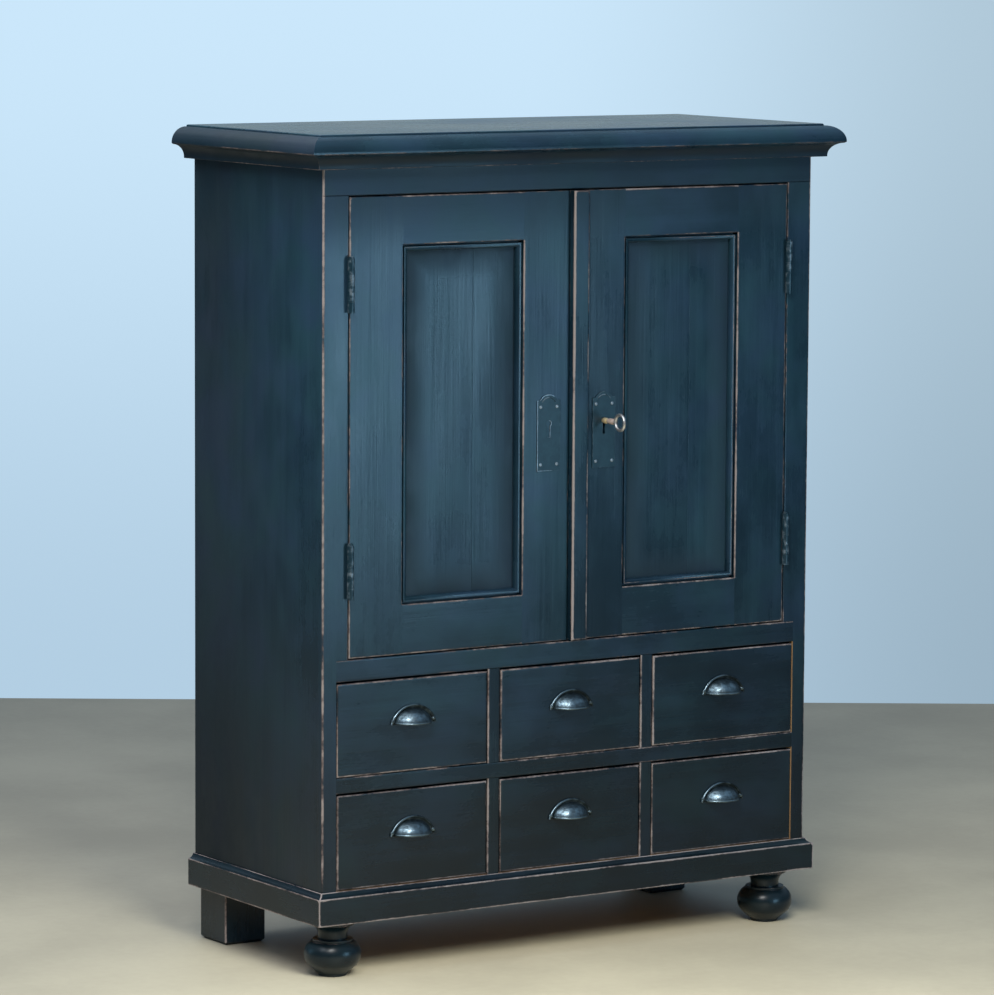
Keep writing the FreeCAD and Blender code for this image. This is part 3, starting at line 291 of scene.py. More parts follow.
def soft_light(name, place, aim, size, power, colour, only=None, lean=0.0):
    """A rectangular soft light that points at a spot and isn't seen by the camera. It may light one
    collection alone, and it may lean over in its own plane."""
    light = bpy.data.lights.new(name, "AREA")
    light.shape = "RECTANGLE"
    light.size, light.size_y = size
    light.energy = power
    light.color = colour
    lamp = bpy.data.objects.new(name, light)
    away = (Vector(place) - Vector(aim)).normalized()
    facing = away.to_track_quat("Z", "Y").to_matrix().to_4x4()
    lamp.matrix_world = Matrix.Translation(place) @ facing @ Matrix.Rotation(math.radians(lean), 4, "Z")
    lamp.visible_camera = False
    if only:
        lamp.light_linking.receiver_collection = only
    bpy.context.scene.collection.objects.link(lamp)


make_world()
soft_light("key_light", (-2.6, -2.9, 4.0), (0, 0, 0.6), (1.2, 1.4), 160, (1.0, 0.98, 0.95))
soft_light("window_light", (-3.3, -0.6, 3.4), (-0.4, 0, 0.8), (1.2, 1.6), 34, (0.86, 0.94, 1.0))
soft_light("top_light", (-0.8, 0.6, 3.4), (0, 0, 0.8), (2.4, 2.4), 55, (0.95, 0.98, 1.0))
soft_light("sheen_light", (1.05, -2.9, 0.70), (-0.35, -0.16, 0.85), (0.55, 0.95), 28, BLUE, PAINTED, lean=-35)
soft_light("side_light", (-2.9, 2.2, 0.8), (-0.45, 0, 0.8), (0.8, 1.2), 6, BLUE, PAINTED)
soft_light("back_light", (1.9, 2.9, 1.72), (0, 0, 1.28), (2.6, 0.8), 3.6, (0.78, 0.96, 1.0), PAINTED)
soft_light("floor_light", (-0.6, -1.6, 1.3), (-0.35, -0.7, 0), (0.7, 0.7), 84, (0.97, 0.98, 0.84), GROUND)

# %% [markdown]
# ## Brush marks
# The paint was put on by hand, so it carries long streaks along each board, with broader bands and clouds
# under them. Noise that is squeezed across a board and drawn out along it looks like a brush stroke. The
# group expects strokes along its own Z, and each material turns the coordinates so that Z follows the board.
# Every board also carries a number, plank, which moves it to another part of the noise.

# %% Brush mark group
BRUSHES = {
    "Streak": ((420, 420, 7), 4.0, 0.6, (0.25, 0.75)),
    "Drag": ((45, 45, 2.2), 4.0, 0.55, (0.28, 0.72)),
    "Cloud": ((16, 16, 9), 5.0, 0.6, (0.28, 0.72)),
    "Patch": ((6, 6, 3.5), 3.0, 0.5, (0.3, 0.7)),
}
WAVE_SIZE = (11, 11, 5)
PLANK_STEP = 31.0


def make_brush_group():
    """Each brush is a stretched noise with its detail and roughness, cut to a span of its values."""
    sockets = {"Place": "Vector", "Plank": "Float"}
    results = dict.fromkeys((*BRUSHES, "Wave", "Shade"), "Float")
    tree, given, result = new_group("brush_marks", sockets, results)
    plank = math_node(tree, "MULTIPLY", given["Plank"], PLANK_STEP)
    for mark, (size, detail, roughness, span) in BRUSHES.items():
        made = noise(tree, stretch(tree, given["Place"], size), plank, 1.0, detail, roughness)
        tree.links.new(ramp(tree, made, *span), result[mark])
    tree.links.new(noise(tree, stretch(tree, given["Place"], WAVE_SIZE), plank, 1.0, 0.0), result["Wave"])
    shade = add(tree, "TexWhiteNoise", {"W": plank}, noise_dimensions="1D").outputs["Value"]
    tree.links.new(shade, result["Shade"])
    return tree


BRUSH_MARKS = make_brush_group()
print("group:", BRUSH_MARKS.name)

# %% [markdown]
# ## Worn edges
# Hands and feet rub the paint off the sharp edges first: a narrow pale line of bare wood shows, with the
# reddish undercoat beside it. Each piece will carry a value called worn, which is about 1 on an eased edge
# and fades to 0 a few millimetres away. The group breaks that value up with noise, long along the edge and
# ragged across it, and cuts it at two levels: a lower one for the undercoat and a higher one for the wood.

# %% Worn edge group
UNDERCOAT_SPAN = (0.74, 1.0)
WOOD_SPAN = (0.9, 1.2)
NICK_SPAN = (0.79, 0.83)
NICK_SHARE = 0.4


def make_wear_group():
    sockets = {"Place": "Vector", "Plank": "Float", "Worn": "Float"}
    results = {"Undercoat": "Float", "Wood": "Float"}
    tree, given, result = new_group("worn_edge", sockets, results)
    plank = math_node(tree, "MULTIPLY", given["Plank"], 17.0)
    along = noise(tree, given["Place"], plank, 13.0, 2.0)
    ragged = noise(tree, given["Place"], plank, 120.0, 3.0, 0.65)
    fine = noise(tree, given["Place"], plank, 700.0, 2.0)
    level = given["Worn"]
    for rough, weight in ((along, 1.1), (ragged, 0.8), (fine, 0.4)):
        swing = math_node(tree, "MULTIPLY", math_node(tree, "SUBTRACT", rough, 0.5), weight)
        level = math_node(tree, "ADD", level, swing)
    near = ramp(tree, given["Worn"], 0.02, 0.3)
    nick = ramp(tree, noise(tree, given["Place"], plank, 75.0, 3.0, 0.8), *NICK_SPAN, 0.0, NICK_SHARE)
    wood = math_node(tree, "MULTIPLY", ramp(tree, level, *WOOD_SPAN), near)
    undercoat = math_node(tree, "MULTIPLY", ramp(tree, level, *UNDERCOAT_SPAN), near)
    tree.links.new(undercoat, result["Undercoat"])
    tree.links.new(math_node(tree, "MAXIMUM", wood, nick), result["Wood"])
    return tree


WORN_EDGE = make_wear_group()
print("group:", WORN_EDGE.name)

# %% [markdown]
# ## The blue-black paint
# The paint is a satin blue-black, nearly charcoal in the dark streaks and slate blue in the light ones.
# Colour, roughness and a slight relief all come from the same brush marks, so a light streak is also a duller
# and slightly raised one. A painted shade, carried as a value on the vertices or found by height under the
# cornice, darkens the paint and takes off its shine, and a second painted shade darkens and greys the paint
# towards the floor. Three materials share one recipe and differ only in which way the strokes run.

# %% Paint
PAINT_DARK = (0.0055, 0.0175, 0.0285, 1)
PAINT_TEAL = (0.0125, 0.0415, 0.0570, 1)
PAINT_BLUE = (0.0160, 0.0380, 0.0700, 1)
UNDERCOAT = (0.100, 0.070, 0.064, 1)
RUBBED_WOOD = (0.29, 0.235, 0.215, 1)
# Painted shade: the paint is darkened and greyed towards the floor, between these two heights.
FLOOR_SHADE = (0.36, 0.34, 0.31, 1)
FLOOR_SHADE_SPAN = (0.1, 0.8)
# Painted shade: how much darker the shaded paint becomes.
SHADE_DARKENING = (0.5, 0.52, 0.54, 1)
# Painted shadow of the cornice: a band of darker, duller paint on the boards just under it.
CORNICE_SHADOW_START = (1.09, 1.2)
CORNICE_SHADOW_END = (1.235, 1.245)
CORNICE_SHADOW = 0.55
GLOSS = 0.3
DULLING = 0.3
BARE_ROUGHNESS = 0.62
TONE_SHARES = {"Drag": 0.18, "Cloud": 0.36, "Patch": 0.34, "Streak": 0.08, "Shade": 0.26}
TONE_SPAN = (0.2, 1.05)
WAVES = 0.0022
STROKES = {
    "upright": (0, 0, 0),
    "level": (0, math.radians(90), 0),
    "deep": (math.radians(90), 0, 0),
}


def brushed(tree, strokes):
    """The place on a piece, its plank number, the place turned along the strokes, and the brush marks."""
    place = place_on_object(tree)
    plank = carried(tree, "plank")
    along = add(tree, "Mapping", {"Vector": place, "Rotation": STROKES[strokes]}).outputs[0]
    return place, plank, along, use_group(tree, BRUSH_MARKS, {"Place": along, "Plank": plank})


def painted_shade_level(tree, height, cloud):
    """How far painted shade covers the paint: the shade that the vertices carry, made patchy by a cloud, and
    a painted shadow in a band under the cornice.
    """
    patchy = math_node(tree, "MULTIPLY", carried(tree, "painted_shade"), ramp(tree, cloud, 0.0, 1.0, 0.6, 1.0))
    under_cornice = ramp(tree, height, *CORNICE_SHADOW_END, 1.0, 0.0)
    shadow_band = math_node(tree, "MULTIPLY", ramp(tree, height, *CORNICE_SHADOW_START, 0.0, CORNICE_SHADOW), under_cornice)
    return math_node(tree, "MAXIMUM", patchy, shadow_band)


def paint_finish(strokes):
    material, tree, shader = new_material("paint_" + strokes)
    place, plank, _, marks = brushed(tree, strokes)
    wear = use_group(tree, WORN_EDGE, {"Place": place, "Plank": plank, "Worn": carried(tree, "worn")})
    tone = total(tree, *[(marks[mark], share) for mark, share in TONE_SHARES.items()])
    hue = noise(tree, place, plank, 9.0, 2.0)
    light = blend(tree, ramp(tree, hue, 0.35, 0.65), PAINT_TEAL, PAINT_BLUE)
    colour = blend(tree, ramp(tree, tone, *TONE_SPAN), PAINT_DARK, light)
    height = add(tree, "SeparateXYZ", {0: place}).outputs["Z"]
    # Painted shade: darker and greyer towards the floor.
    floor_shaded = blend(tree, 1.0, colour, FLOOR_SHADE, "MULTIPLY")
    colour = blend(tree, ramp(tree, height, *FLOOR_SHADE_SPAN), floor_shaded, colour)
    # Painted shade: beside the mouldings, at the back of the sides and under the cornice the paint is made
    # darker and rougher.
    dull = painted_shade_level(tree, height, marks["Cloud"])
    colour = blend(tree, dull, colour, blend(tree, 1.0, colour, SHADE_DARKENING, "MULTIPLY"))
    colour = blend(tree, wear["Undercoat"], colour, UNDERCOAT)
    colour = blend(tree, wear["Wood"], colour, RUBBED_WOOD)
    rough = total(tree, (ramp(tree, tone, *TONE_SPAN, 0.24, 0.34), 1.0), (dull, DULLING))
    bare = math_node(tree, "MULTIPLY", wear["Undercoat"], BARE_ROUGHNESS)
    relief = total(tree, (marks["Streak"], 0.35), (marks["Drag"], 0.8), (wear["Wood"], -1.5))
    wavy = bump(tree, marks["Wave"], 1.0, WAVES)
    fill(tree, shader, {
        "Base Color": colour,
        "Roughness": math_node(tree, "MAXIMUM", rough, bare),
        "Specular IOR Level": GLOSS,
        "Normal": bump(tree, relief, 0.35, 0.0004, Normal=wavy),
    })
    return material


PAINT = {strokes: paint_finish(strokes) for strokes in STROKES}
print("paints:", sorted(PAINT))

# %% [markdown]
# ## Bare pine
# Inside the cupboard the boards were never painted. Old pine has gone honey brown, with darker late wood in
# long wavering lines. The lines are a sine of a noise that is drawn out along the board, so they close in
# long pointed arches as sawn wood does.

# %% Bare pine
PINE_PALE = (0.56, 0.36, 0.185, 1)
PINE_DARK = (0.33, 0.165, 0.065, 1)
RING_SIZE = (9, 9, 0.6)
RING_COUNT = 120.0


def pine_finish(strokes):
    material, tree, shader = new_material("pine_" + strokes)
    _, plank, along, marks = brushed(tree, strokes)
    shift = math_node(tree, "MULTIPLY", plank, 23.0)
    bend = noise(tree, stretch(tree, along, RING_SIZE), shift, 1.0, 1.0)
    rings = ramp(tree, math_node(tree, "SINE", math_node(tree, "MULTIPLY", bend, RING_COUNT)), -0.4, 1.0)
    tone = total(tree, (rings, 0.55), (marks["Streak"], 0.3), (marks["Cloud"], 0.25))
    fill(tree, shader, {
        "Base Color": blend(tree, tone, PINE_PALE, PINE_DARK),
        "Roughness": ramp(tree, tone, 0.0, 1.0, 0.6, 0.72),
        "Normal": bump(tree, tone, 0.25, 0.0003),
    })
    return material


PINE = {strokes: pine_finish(strokes) for strokes in STROKES}
print("bare pine:", sorted(PINE))

# %% [markdown]
# ## Metals
# Hinges and key plates were painted over with the woodwork, so they wear the same paint, thicker and
# smoother, with metal rubbed bright here and there. The cup pulls are a dark pewter that is polished where
# fingers touch. The key is rubbed brass with a steel ring, and the lock inside is dull oiled steel. All of
# them share one group of blotches and fine scratches.

# %% Metal patina group


def make_patina_group():
    results = {"Blotch": "Float", "Scratch": "Float"}
    tree, given, result = new_group("metal_patina", {"Place": "Vector"}, results)
    blotch = noise(tree, given["Place"], 1.0, 110.0, 4.0, 0.6)
    scratch = noise(tree, stretch(tree, given["Place"], (300, 900, 2400)), 2.0, 1.0, 3.0, 0.6)
    tree.links.new(ramp(tree, blotch, 0.3, 0.7), result["Blotch"])
    tree.links.new(ramp(tree, scratch, 0.3, 0.7), result["Scratch"])
    return tree


METAL_PATINA = make_patina_group()
print("group:", METAL_PATINA.name)

# %% Metals
RUBBED_IRON = (0.26, 0.30, 0.34, 1)
TARNISH = 0.16


def metal_finish(name, dull, bright, rough, metallic=1.0, pitted=0.0):
    """Metal that is dull in its hollows and bright where the value worn is high. Cast metal is pitted."""
    material, tree, shader = new_material(name)
    patina = use_group(tree, METAL_PATINA, {"Place": place_on_object(tree)})
    rub = ramp(tree, total(tree, (carried(tree, "worn"), 0.75), (patina["Blotch"], 0.45)), 0.15, 0.95)
    patchy = ramp(tree, rub, 0.0, 1.0, rough + TARNISH, rough)
    relief = total(tree, (patina["Scratch"], 1.0), (patina["Blotch"], pitted))
    fill(tree, shader, {
        "Base Color": blend(tree, rub, dull, bright),
        "Roughness": total(tree, (patchy, 1.0), (patina["Scratch"], 0.06)),
        "Metallic": metallic,
        "Normal": bump(tree, relief, 0.12, 0.0001),
    })
    return material


def painted_iron_finish():
    """Thick paint over iron: the cupboard's paint with rubbed spots of metal showing through."""
    material, tree, shader = new_material("painted_iron")
    patina = use_group(tree, METAL_PATINA, {"Place": place_on_object(tree)})
    blotch = patina["Blotch"]
    bare = ramp(tree, total(tree, (carried(tree, "worn"), 1.0), (blotch, 0.5)), 0.95, 1.5)
    colour = blend(tree, ramp(tree, blotch, 0.0, 1.0, 0.3, 0.6), PAINT_DARK, PAINT_TEAL)
    fill(tree, shader, {
        "Base Color": blend(tree, bare, colour, RUBBED_IRON),
        "Metallic": math_node(tree, "MULTIPLY", bare, 0.5),
        "Roughness": ramp(tree, blotch, 0.0, 1.0, 0.29, 0.33),
        "Specular IOR Level": GLOSS,
        "Normal": bump(tree, blotch, 0.1, 0.0003),
    })
    return material


IRON = painted_iron_finish()
PEWTER = metal_finish("pull_pewter", (0.028, 0.040, 0.048, 1), (0.22, 0.30, 0.35, 1), 0.27, pitted=40.0)
STEEL = metal_finish("lock_steel", (0.17, 0.17, 0.175, 1), (0.42, 0.42, 0.43, 1), 0.34)
BRASS = metal_finish("key_brass", (0.40, 0.30, 0.14, 1), (0.74, 0.60, 0.36, 1), 0.34, 0.6)
BRONZE = metal_finish("key_bronze", (0.40, 0.29, 0.24, 1), (0.74, 0.58, 0.50, 1), 0.36, 0.45)
RING = metal_finish("key_ring_steel", (0.30, 0.29, 0.29, 1), (0.66, 0.64, 0.63, 1), 0.32, 0.9)
print("metals:", [m.name for m in (IRON, PEWTER, STEEL, BRASS, BRONZE, RING)])

# %% [markdown]
# ## From a construction solid to a finished piece
# A construction solid has perfectly sharp edges, which no real board has and which catch no light. Each board
# is therefore copied into a bmesh, its triangles are joined back into flat faces, and the edges that show are
# bevelled. A bevel modifier would be quicker, but a bmesh bevel returns the faces that it made, and those are
# the places where the paint wears. Before the bevel, the board is cut a few millimetres from each worn edge,
# so that the value worn has somewhere to fade to.

# %% Helpers for boards
SIDES = {"left": (0, 0), "right": (0, 1), "front": (1, 0), "back": (1, 1), "bottom": (2, 0), "top": (2, 1)}
VALUES = ("worn", "plank", "painted_shade")
SHARP = math.radians(40)
NEAR = 0.02 * MM
MERGE = 0.01 * MM
CUT = 0.001 * MM
FADE = 5 * MM
PLANK_SPREAD = 0.173


def with_values(shape):
    """Adds the values that the finishes read."""
    for name in VALUES:
        shape.verts.layers.float.new(name)
    return shape


def new_shape():
    return with_values(bmesh.new())


def copy_of(node):
    """A merged copy of a construction node, with its flat triangles joined into whole faces."""
    shape = bmesh.new()
    shape.from_mesh(frame["nodes"][node].data)
    bmesh.ops.remove_doubles(shape, verts=shape.verts, dist=MERGE)
    bmesh.ops.dissolve_limit(shape, angle_limit=math.radians(1), verts=shape.verts, edges=shape.edges)
    return with_values(shape)


def solids_of(shape):
    """The separate solids of a shape, each as a list of its vertices."""
    waiting = dict.fromkeys(shape.verts)
    solids = []
    while waiting:
        solid = [waiting.popitem()[0]]
        for vert in solid:
            for edge in vert.link_edges:
                other = edge.other_vert(vert)
                if other in waiting:
                    del waiting[other]
                    solid.append(other)
        solids.append(solid)
    return solids


def geometry_of(verts):
    edges = dict.fromkeys(edge for vert in verts for edge in vert.link_edges)
    faces = dict.fromkeys(face for vert in verts for face in vert.link_faces)
    return [*verts, *edges, *faces]


def corners_of(verts):
    return [[pick(vert.co[axis] for vert in verts) for pick in (min, max)] for axis in range(3)]


def side_plane(corners, side):
    """The axis and end of a named side. Inner faces the cupboard's middle, and outer faces away from it."""
    if side in ("inner", "outer"):
        middle = sum(corners[0]) / 2
        side = "right" if (middle < 0) == (side == "inner") else "left"
    return SIDES[side]


def cut_across(shape, geometry, axis, place):
    """Cuts faces along a plane, adding edges there and taking nothing away."""
    point = Vector((0, 0, 0))
    normal = Vector((0, 0, 0))
    point[axis] = place
    normal[axis] = 1
    made = bmesh.ops.bisect_plane(shape, geom=geometry, dist=CUT, plane_co=point, plane_no=normal)
    return made["geom"]


def bevel(shape, edges, width, segments):
    made = bmesh.ops.bevel(
        shape, geom=list(edges), offset=width, offset_type="OFFSET", affect="EDGES",
        segments=segments, profile=0.5, material=-1, clamp_overlap=True, loop_slide=True,
    )
    return made["faces"]


def wear_down(shape, faces, wear):
    """Gives all the vertices of some faces the same wear."""
    worn = shape.verts.layers.float["worn"]
    for face in faces:
        for vert in face.verts:
            vert[worn] = wear


def ease_arrises(shape, solid, arrises, width=2.0 * MM, segments=3):
    """Rounds the named edges of one solid and marks them as worn. Each arris is two side names and a wear."""
    corners = corners_of(solid)
    geometry = geometry_of(solid)
    planes = {}
    for sides in arrises:
        for axis, end in (side_plane(corners, side) for side in sides.split()):
            planes[axis, end] = corners[axis][end]
    for (axis, end), place in planes.items():
        geometry = cut_across(shape, geometry, axis, place + (FADE if end == 0 else -FADE))
    verts = [part for part in geometry if isinstance(part, bmesh.types.BMVert)]
    edges = {}
    marks = []
    for sides, wear in arrises.items():
        ends = [side_plane(corners, side) for side in sides.split()]
        on = {v for v in verts if all(abs(v.co[axis] - corners[axis][end]) < NEAR for axis, end in ends)}
        edges.update(dict.fromkeys(e for v in on for e in v.link_edges if e.other_vert(v) in on))
        marks.append((ends, wear))
    worn = shape.verts.layers.float["worn"]
    for face in bevel(shape, edges, width, segments):
        for vert in face.verts:
            for ends, wear in marks:
                if all(abs(vert.co[axis] - corners[axis][end]) < 1.1 * width for axis, end in ends):
                    vert[worn] = max(vert[worn], wear)


def number_planks(shape, first):
    """Gives each solid of a shape its own plank number."""
    plank = shape.verts.layers.float["plank"]
    for count, solid in enumerate(solids_of(shape)):
        for vert in solid:
            vert[plank] = first + PLANK_SPREAD * count


def plank_number(name):
    """A steady number between 0 and 1 for a piece, from the letters of its name."""
    return sum((place + 1) * ord(letter) for place, letter in enumerate(name)) % 997 / 997


def make_piece(shape, node, *materials):
    """Turns a bmesh into the piece that stands for a construction node and moves with its body."""
    for face in shape.faces:
        face.smooth = True
    for edge in shape.edges:
        edge.smooth = edge.calc_face_angle(0) < SHARP
    piece = mesh_object(node + "_finish", shape)
    for material in materials:
        piece.data.materials.append(material)
    shading = piece.modifiers.new("flat_faces_stay_flat", "WEIGHTED_NORMAL")
    shading.keep_sharp = True
    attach(piece, frame["nodes"][node]["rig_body"])
    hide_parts(node)
    if materials[0] in (IRON, *PAINT.values()):
        PAINTED.objects.link(piece)
    return piece


def make_boards(node, material, arrises, plank=None, width=2.0 * MM):
    """A node made of plain boards, with the same edges eased on each of its solids."""
    shape = copy_of(node)
    for solid in solids_of(shape):
        ease_arrises(shape, solid, arrises, width)
    number_planks(shape, plank_number(node) if plank is None else plank)
    return make_piece(shape, node, material)


print("board helpers ready")

# %% [markdown]
# ## Sides, rails and posts
# The two sides are single wide boards. Their front edges are the outer edges of the whole cupboard and are
# rubbed all the way down, and their outer faces carry a painted shade that darkens them towards the back.
# Rails run across the front between them, and short posts stand between the drawers. The inner faces of the
# sides were never painted, so those faces take a second material by their direction.

# %% Sides
STILE_PLANKS = {"left": 0.11, "right": 0.67}
SIDE_FADE = (-0.1, 0.16)
SIDE_SHADE = 1.3


def make_side(side):
    node = "side_panel_" + side
    shape = copy_of(node)
    for solid in solids_of(shape):
        ease_arrises(shape, solid, {"front outer": 1.0, "back outer": 0.7})
    # Painted shade: the outer face darkens from the front towards the back.
    for place in SIDE_FADE:
        cut_across(shape, geometry_of(list(shape.verts)), 1, place)
    painted_shade = shape.verts.layers.float["painted_shade"]
    for vert in shape.verts:
        share = (vert.co.y - SIDE_FADE[0]) / (SIDE_FADE[1] - SIDE_FADE[0])
        vert[painted_shade] = SIDE_SHADE * min(1, max(0, share))
    number_planks(shape, STILE_PLANKS[side])
    inward = 1 if side == "left" else -1
    for face in shape.faces:
        face.material_index = 1 if face.normal.x * inward > 0.7 else 0
    return make_piece(shape, node, PAINT["upright"], PINE["upright"])


for side in ("left", "right"):
    print(make_side(side).name)

# %% Front rails and posts
RAIL_WEAR = {"front top": 0.85, "front bottom": 0.72}
make_boards("top_rail", PAINT["level"], {"front bottom": 0.5, "front left": 1.1, "front right": 1.0})
make_boards("middle_rail", PAINT["level"], RAIL_WEAR, width=1.4 * MM)
make_boards("drawer_rail", PAINT["level"], RAIL_WEAR, width=1.4 * MM)
make_boards("drawer_muntins", PAINT["upright"], {"front left": 1.08, "front right": 0.7}, width=1.6 * MM)


def make_jambs():
    """The strips inside the sides. They carry the sides' own numbers, so each pair reads as one stile."""
    shape = copy_of("door_jambs")
    plank = shape.verts.layers.float["plank"]
    for solid in solids_of(shape):
        ease_arrises(shape, solid, {"front inner": 0.8}, 1.4 * MM)
    for vert in shape.verts:
        vert[plank] = STILE_PLANKS["left" if vert.co.x < 0 else "right"]
    return make_piece(shape, "door_jambs", PAINT["upright"])


print(make_jambs().name)

# %% [markdown]
# ## Top, cornice and plinth
# The cornice and the plinth are mouldings that turn the corner in a mitre. Their ridges are worn in long
# thin lines. The ridges aren't on the sides of a box, so they are found by angle instead: an edge where two
# faces meet sharply, bulging outwards, that isn't in the mitre or against the carcass.

# %% Mouldings
RIDGE = math.radians(28)
MITRE_FADE = 3 * MM
SIDE_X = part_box("side_panel_right")[1].x
FRONT_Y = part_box("side_panel_right")[0].y
BACK_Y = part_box("side_panel_right")[1].y


def is_outside(point):
    """True for a point that stands clear of the carcass faces."""
    return abs(point.x) > SIDE_X + NEAR or point.y < FRONT_Y - NEAR


def on_mitre(point):
    return abs((abs(point.x) - SIDE_X) - (FRONT_Y - point.y)) < NEAR


def ridges_of(shape):
    """The sharp outward edges of a moulding that show."""
    found = []
    for edge in shape.edges:
        ends = [vert.co for vert in edge.verts]
        shown = all(is_outside(end) for end in ends)
        in_mitre = all(on_mitre(end) for end in ends) and ends[0].x * ends[1].x > 0
        hidden = in_mitre or all(abs(end.y - BACK_Y) < NEAR for end in ends)
        if shown and not hidden and edge.is_convex and edge.calc_face_angle(0) > RIDGE:
            found.append(edge)
    return found


def cut_beside_mitres(shape):
    """Cuts a little to either side of both mitres, so that wear on the corner has somewhere to fade to."""
    for sign in (-1, 1):
        across = Vector((sign, 1, 0)).normalized()
        corner = Vector((sign * SIDE_X, FRONT_Y, 0))
        for shift in (-MITRE_FADE, MITRE_FADE):
            geometry = geometry_of(list(shape.verts))
            place = corner + shift * across
            bmesh.ops.bisect_plane(shape, geom=geometry, dist=CUT, plane_co=place, plane_no=across)


def make_moulding(node, strokes, width, wear, corner_wear, shaded_share=0.0):
    """A moulding with its ridges rounded and worn. Cuts above and below each ridge let the wear fade. The
    lower share of its height that is given is darkened with a painted shade."""
    shape = copy_of(node)
    low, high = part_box(node)
    heights = {round(vert.co.z, 5) for edge in ridges_of(shape) for vert in edge.verts}
    for height in sorted(heights):
        for place in (height - FADE, height + FADE):
            cut_across(shape, geometry_of(list(shape.verts)), 2, place)
    cut_beside_mitres(shape)
    wear_down(shape, bevel(shape, ridges_of(shape), width, 4), wear)
    worn = shape.verts.layers.float["worn"]
    painted_shade = shape.verts.layers.float["painted_shade"]
    for vert in shape.verts:
        if on_mitre(vert.co) and is_outside(vert.co):
            vert[worn] = max(vert[worn], corner_wear)
        if vert.co.z < low.z + shaded_share * (high.z - low.z):
            vert[painted_shade] = 1
    number_planks(shape, plank_number(node))
    return make_piece(shape, node, PAINT[strokes])


# Painted shade on the cornice: the lower part of the front, and the whole height of the returns.
make_moulding("cornice_front", "level", 0.9 * MM, 0.82, 0.75, 0.4)
make_moulding("cornice_returns", "deep", 0.9 * MM, 0.85, 0.7, 1.1)
make_moulding("plinth_front", "level", 1.3 * MM, 1.1, 1.45)
make_moulding("plinth_returns", "deep", 1.3 * MM, 1.05, 1.45)
TOP_WEAR = {f"top {side}": 0.3 for side in ("front", "left", "right", "back")}
make_boards("top_board", PAINT["level"], TOP_WEAR)
print("mouldings and top done")

# %% [markdown]
# ## Feet
# The front feet are turned buns, and the back feet are plain blocks. Both are rubbed where they stand out.

# %% Feet


def make_buns():
    shape = copy_of("bun_feet")
    ridges = [e for e in shape.edges if e.is_convex and e.calc_face_angle(0) > RIDGE]
    wear_down(shape, bevel(shape, ridges, 0.7 * MM, 3), 0.75)
    number_planks(shape, 0.37)
    return make_piece(shape, "bun_feet", PAINT["level"])


print(make_buns().name)
BLOCK_WEAR = {
    "front outer": 1.15, "front inner": 0.9, "back outer": 0.9,
    "outer bottom": 0.9, "front bottom": 0.9,
}
print(make_boards("block_feet", PAINT["upright"], BLOCK_WEAR).name)

# %% [markdown]
# ## Doors
# Each door is a frame of two stiles and two rails round a sunk panel. The stiles run the full height and the
# rails are tenoned between them, so the strokes change direction at the joint. A stile's inner edge is a
# joint at both ends and a worn edge only along the panel, so it is cut at the panel's corners and bevelled
# between them.

# %% Door frames
PANEL_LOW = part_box("left_panel")[0].z + 8 * MM
PANEL_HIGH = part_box("left_panel")[1].z - 8 * MM
BEVEL_END = 0.8 * MM


def make_stile(door, kind, inner):
    """A door stile: its long outer edge and ends are eased, then the stretch beside the panel."""
    node = f"{door}_{kind}_stile"
    outer = "left" if inner == "right" else "right"
    shape = copy_of(node)
    solid = list(shape.verts)
    corners = corners_of(solid)
    inner_x = corners[0][SIDES[inner][1]]
    front_y = corners[1][0]
    for height in (PANEL_LOW - BEVEL_END, PANEL_LOW, PANEL_HIGH, PANEL_HIGH + BEVEL_END):
        cut_across(shape, geometry_of(list(shape.verts)), 2, height)
    outer_wear = 0.65 if kind == "meeting" else 1.0
    arrises = {f"front {outer}": outer_wear, "front top": 0.9, "front bottom": 0.95}
    ease_arrises(shape, list(shape.verts), arrises)
    inward = FADE if inner == "left" else -FADE
    cut_across(shape, geometry_of(list(shape.verts)), 0, inner_x + inward)
    beside = []
    for edge in shape.edges:
        ends = [vert.co for vert in edge.verts]
        on_edge = all(abs(end.x - inner_x) < NEAR and abs(end.y - front_y) < NEAR for end in ends)
        if on_edge and all(PANEL_LOW - NEAR < end.z < PANEL_HIGH + NEAR for end in ends):
            beside.append(edge)
    wear = 1.1 if inner == "left" else 0.85
    worn = shape.verts.layers.float["worn"]
    for face in bevel(shape, beside, 1.2 * MM, 3):
        for vert in face.verts:
            vert[worn] = max(vert[worn], wear)
    number_planks(shape, plank_number(node))
    return make_piece(shape, node, PAINT["upright"])


for door, meeting_inner, hinge_inner in (("left", "left", "right"), ("right", "right", "left")):
    make_stile(door, "meeting", meeting_inner)
    make_stile(door, "hinge", hinge_inner)
    make_boards(f"{door}_door_rails", PAINT["level"], {"front top": 1.0, "front bottom": 0.9}, width=1.4 * MM)
print("door frames done")

# %% Panels and their mouldings
PANEL_RECESS = 11 * MM
PANEL_GROOVE = 8 * MM
MOULDING_GAP = 3.6 * MM
MOULDING_WIDTH = 7 * MM
MOULDING_QUIRK = 2.5 * MM
MOULDING_ROUND = 5.6 * MM
MOULDING_WEAR = {"left": 0.85, "right": 1.1, "bottom": 0.85, "top": 0.75}
PLANK_JOINT = 0.6
SHADE_STEPS = (8 * MM, 20 * MM, 34 * MM, 52 * MM)


def add_box(shape, low, high):
    """A box between two corners, added to a shape; returns its vertices."""
    made = bmesh.ops.create_cube(shape, size=1)["verts"]
    low, high = Vector(low), Vector(high)
    bmesh.ops.scale(shape, vec=high - low, verts=made)
    bmesh.ops.translate(shape, vec=(low + high) / 2, verts=made)
    return made


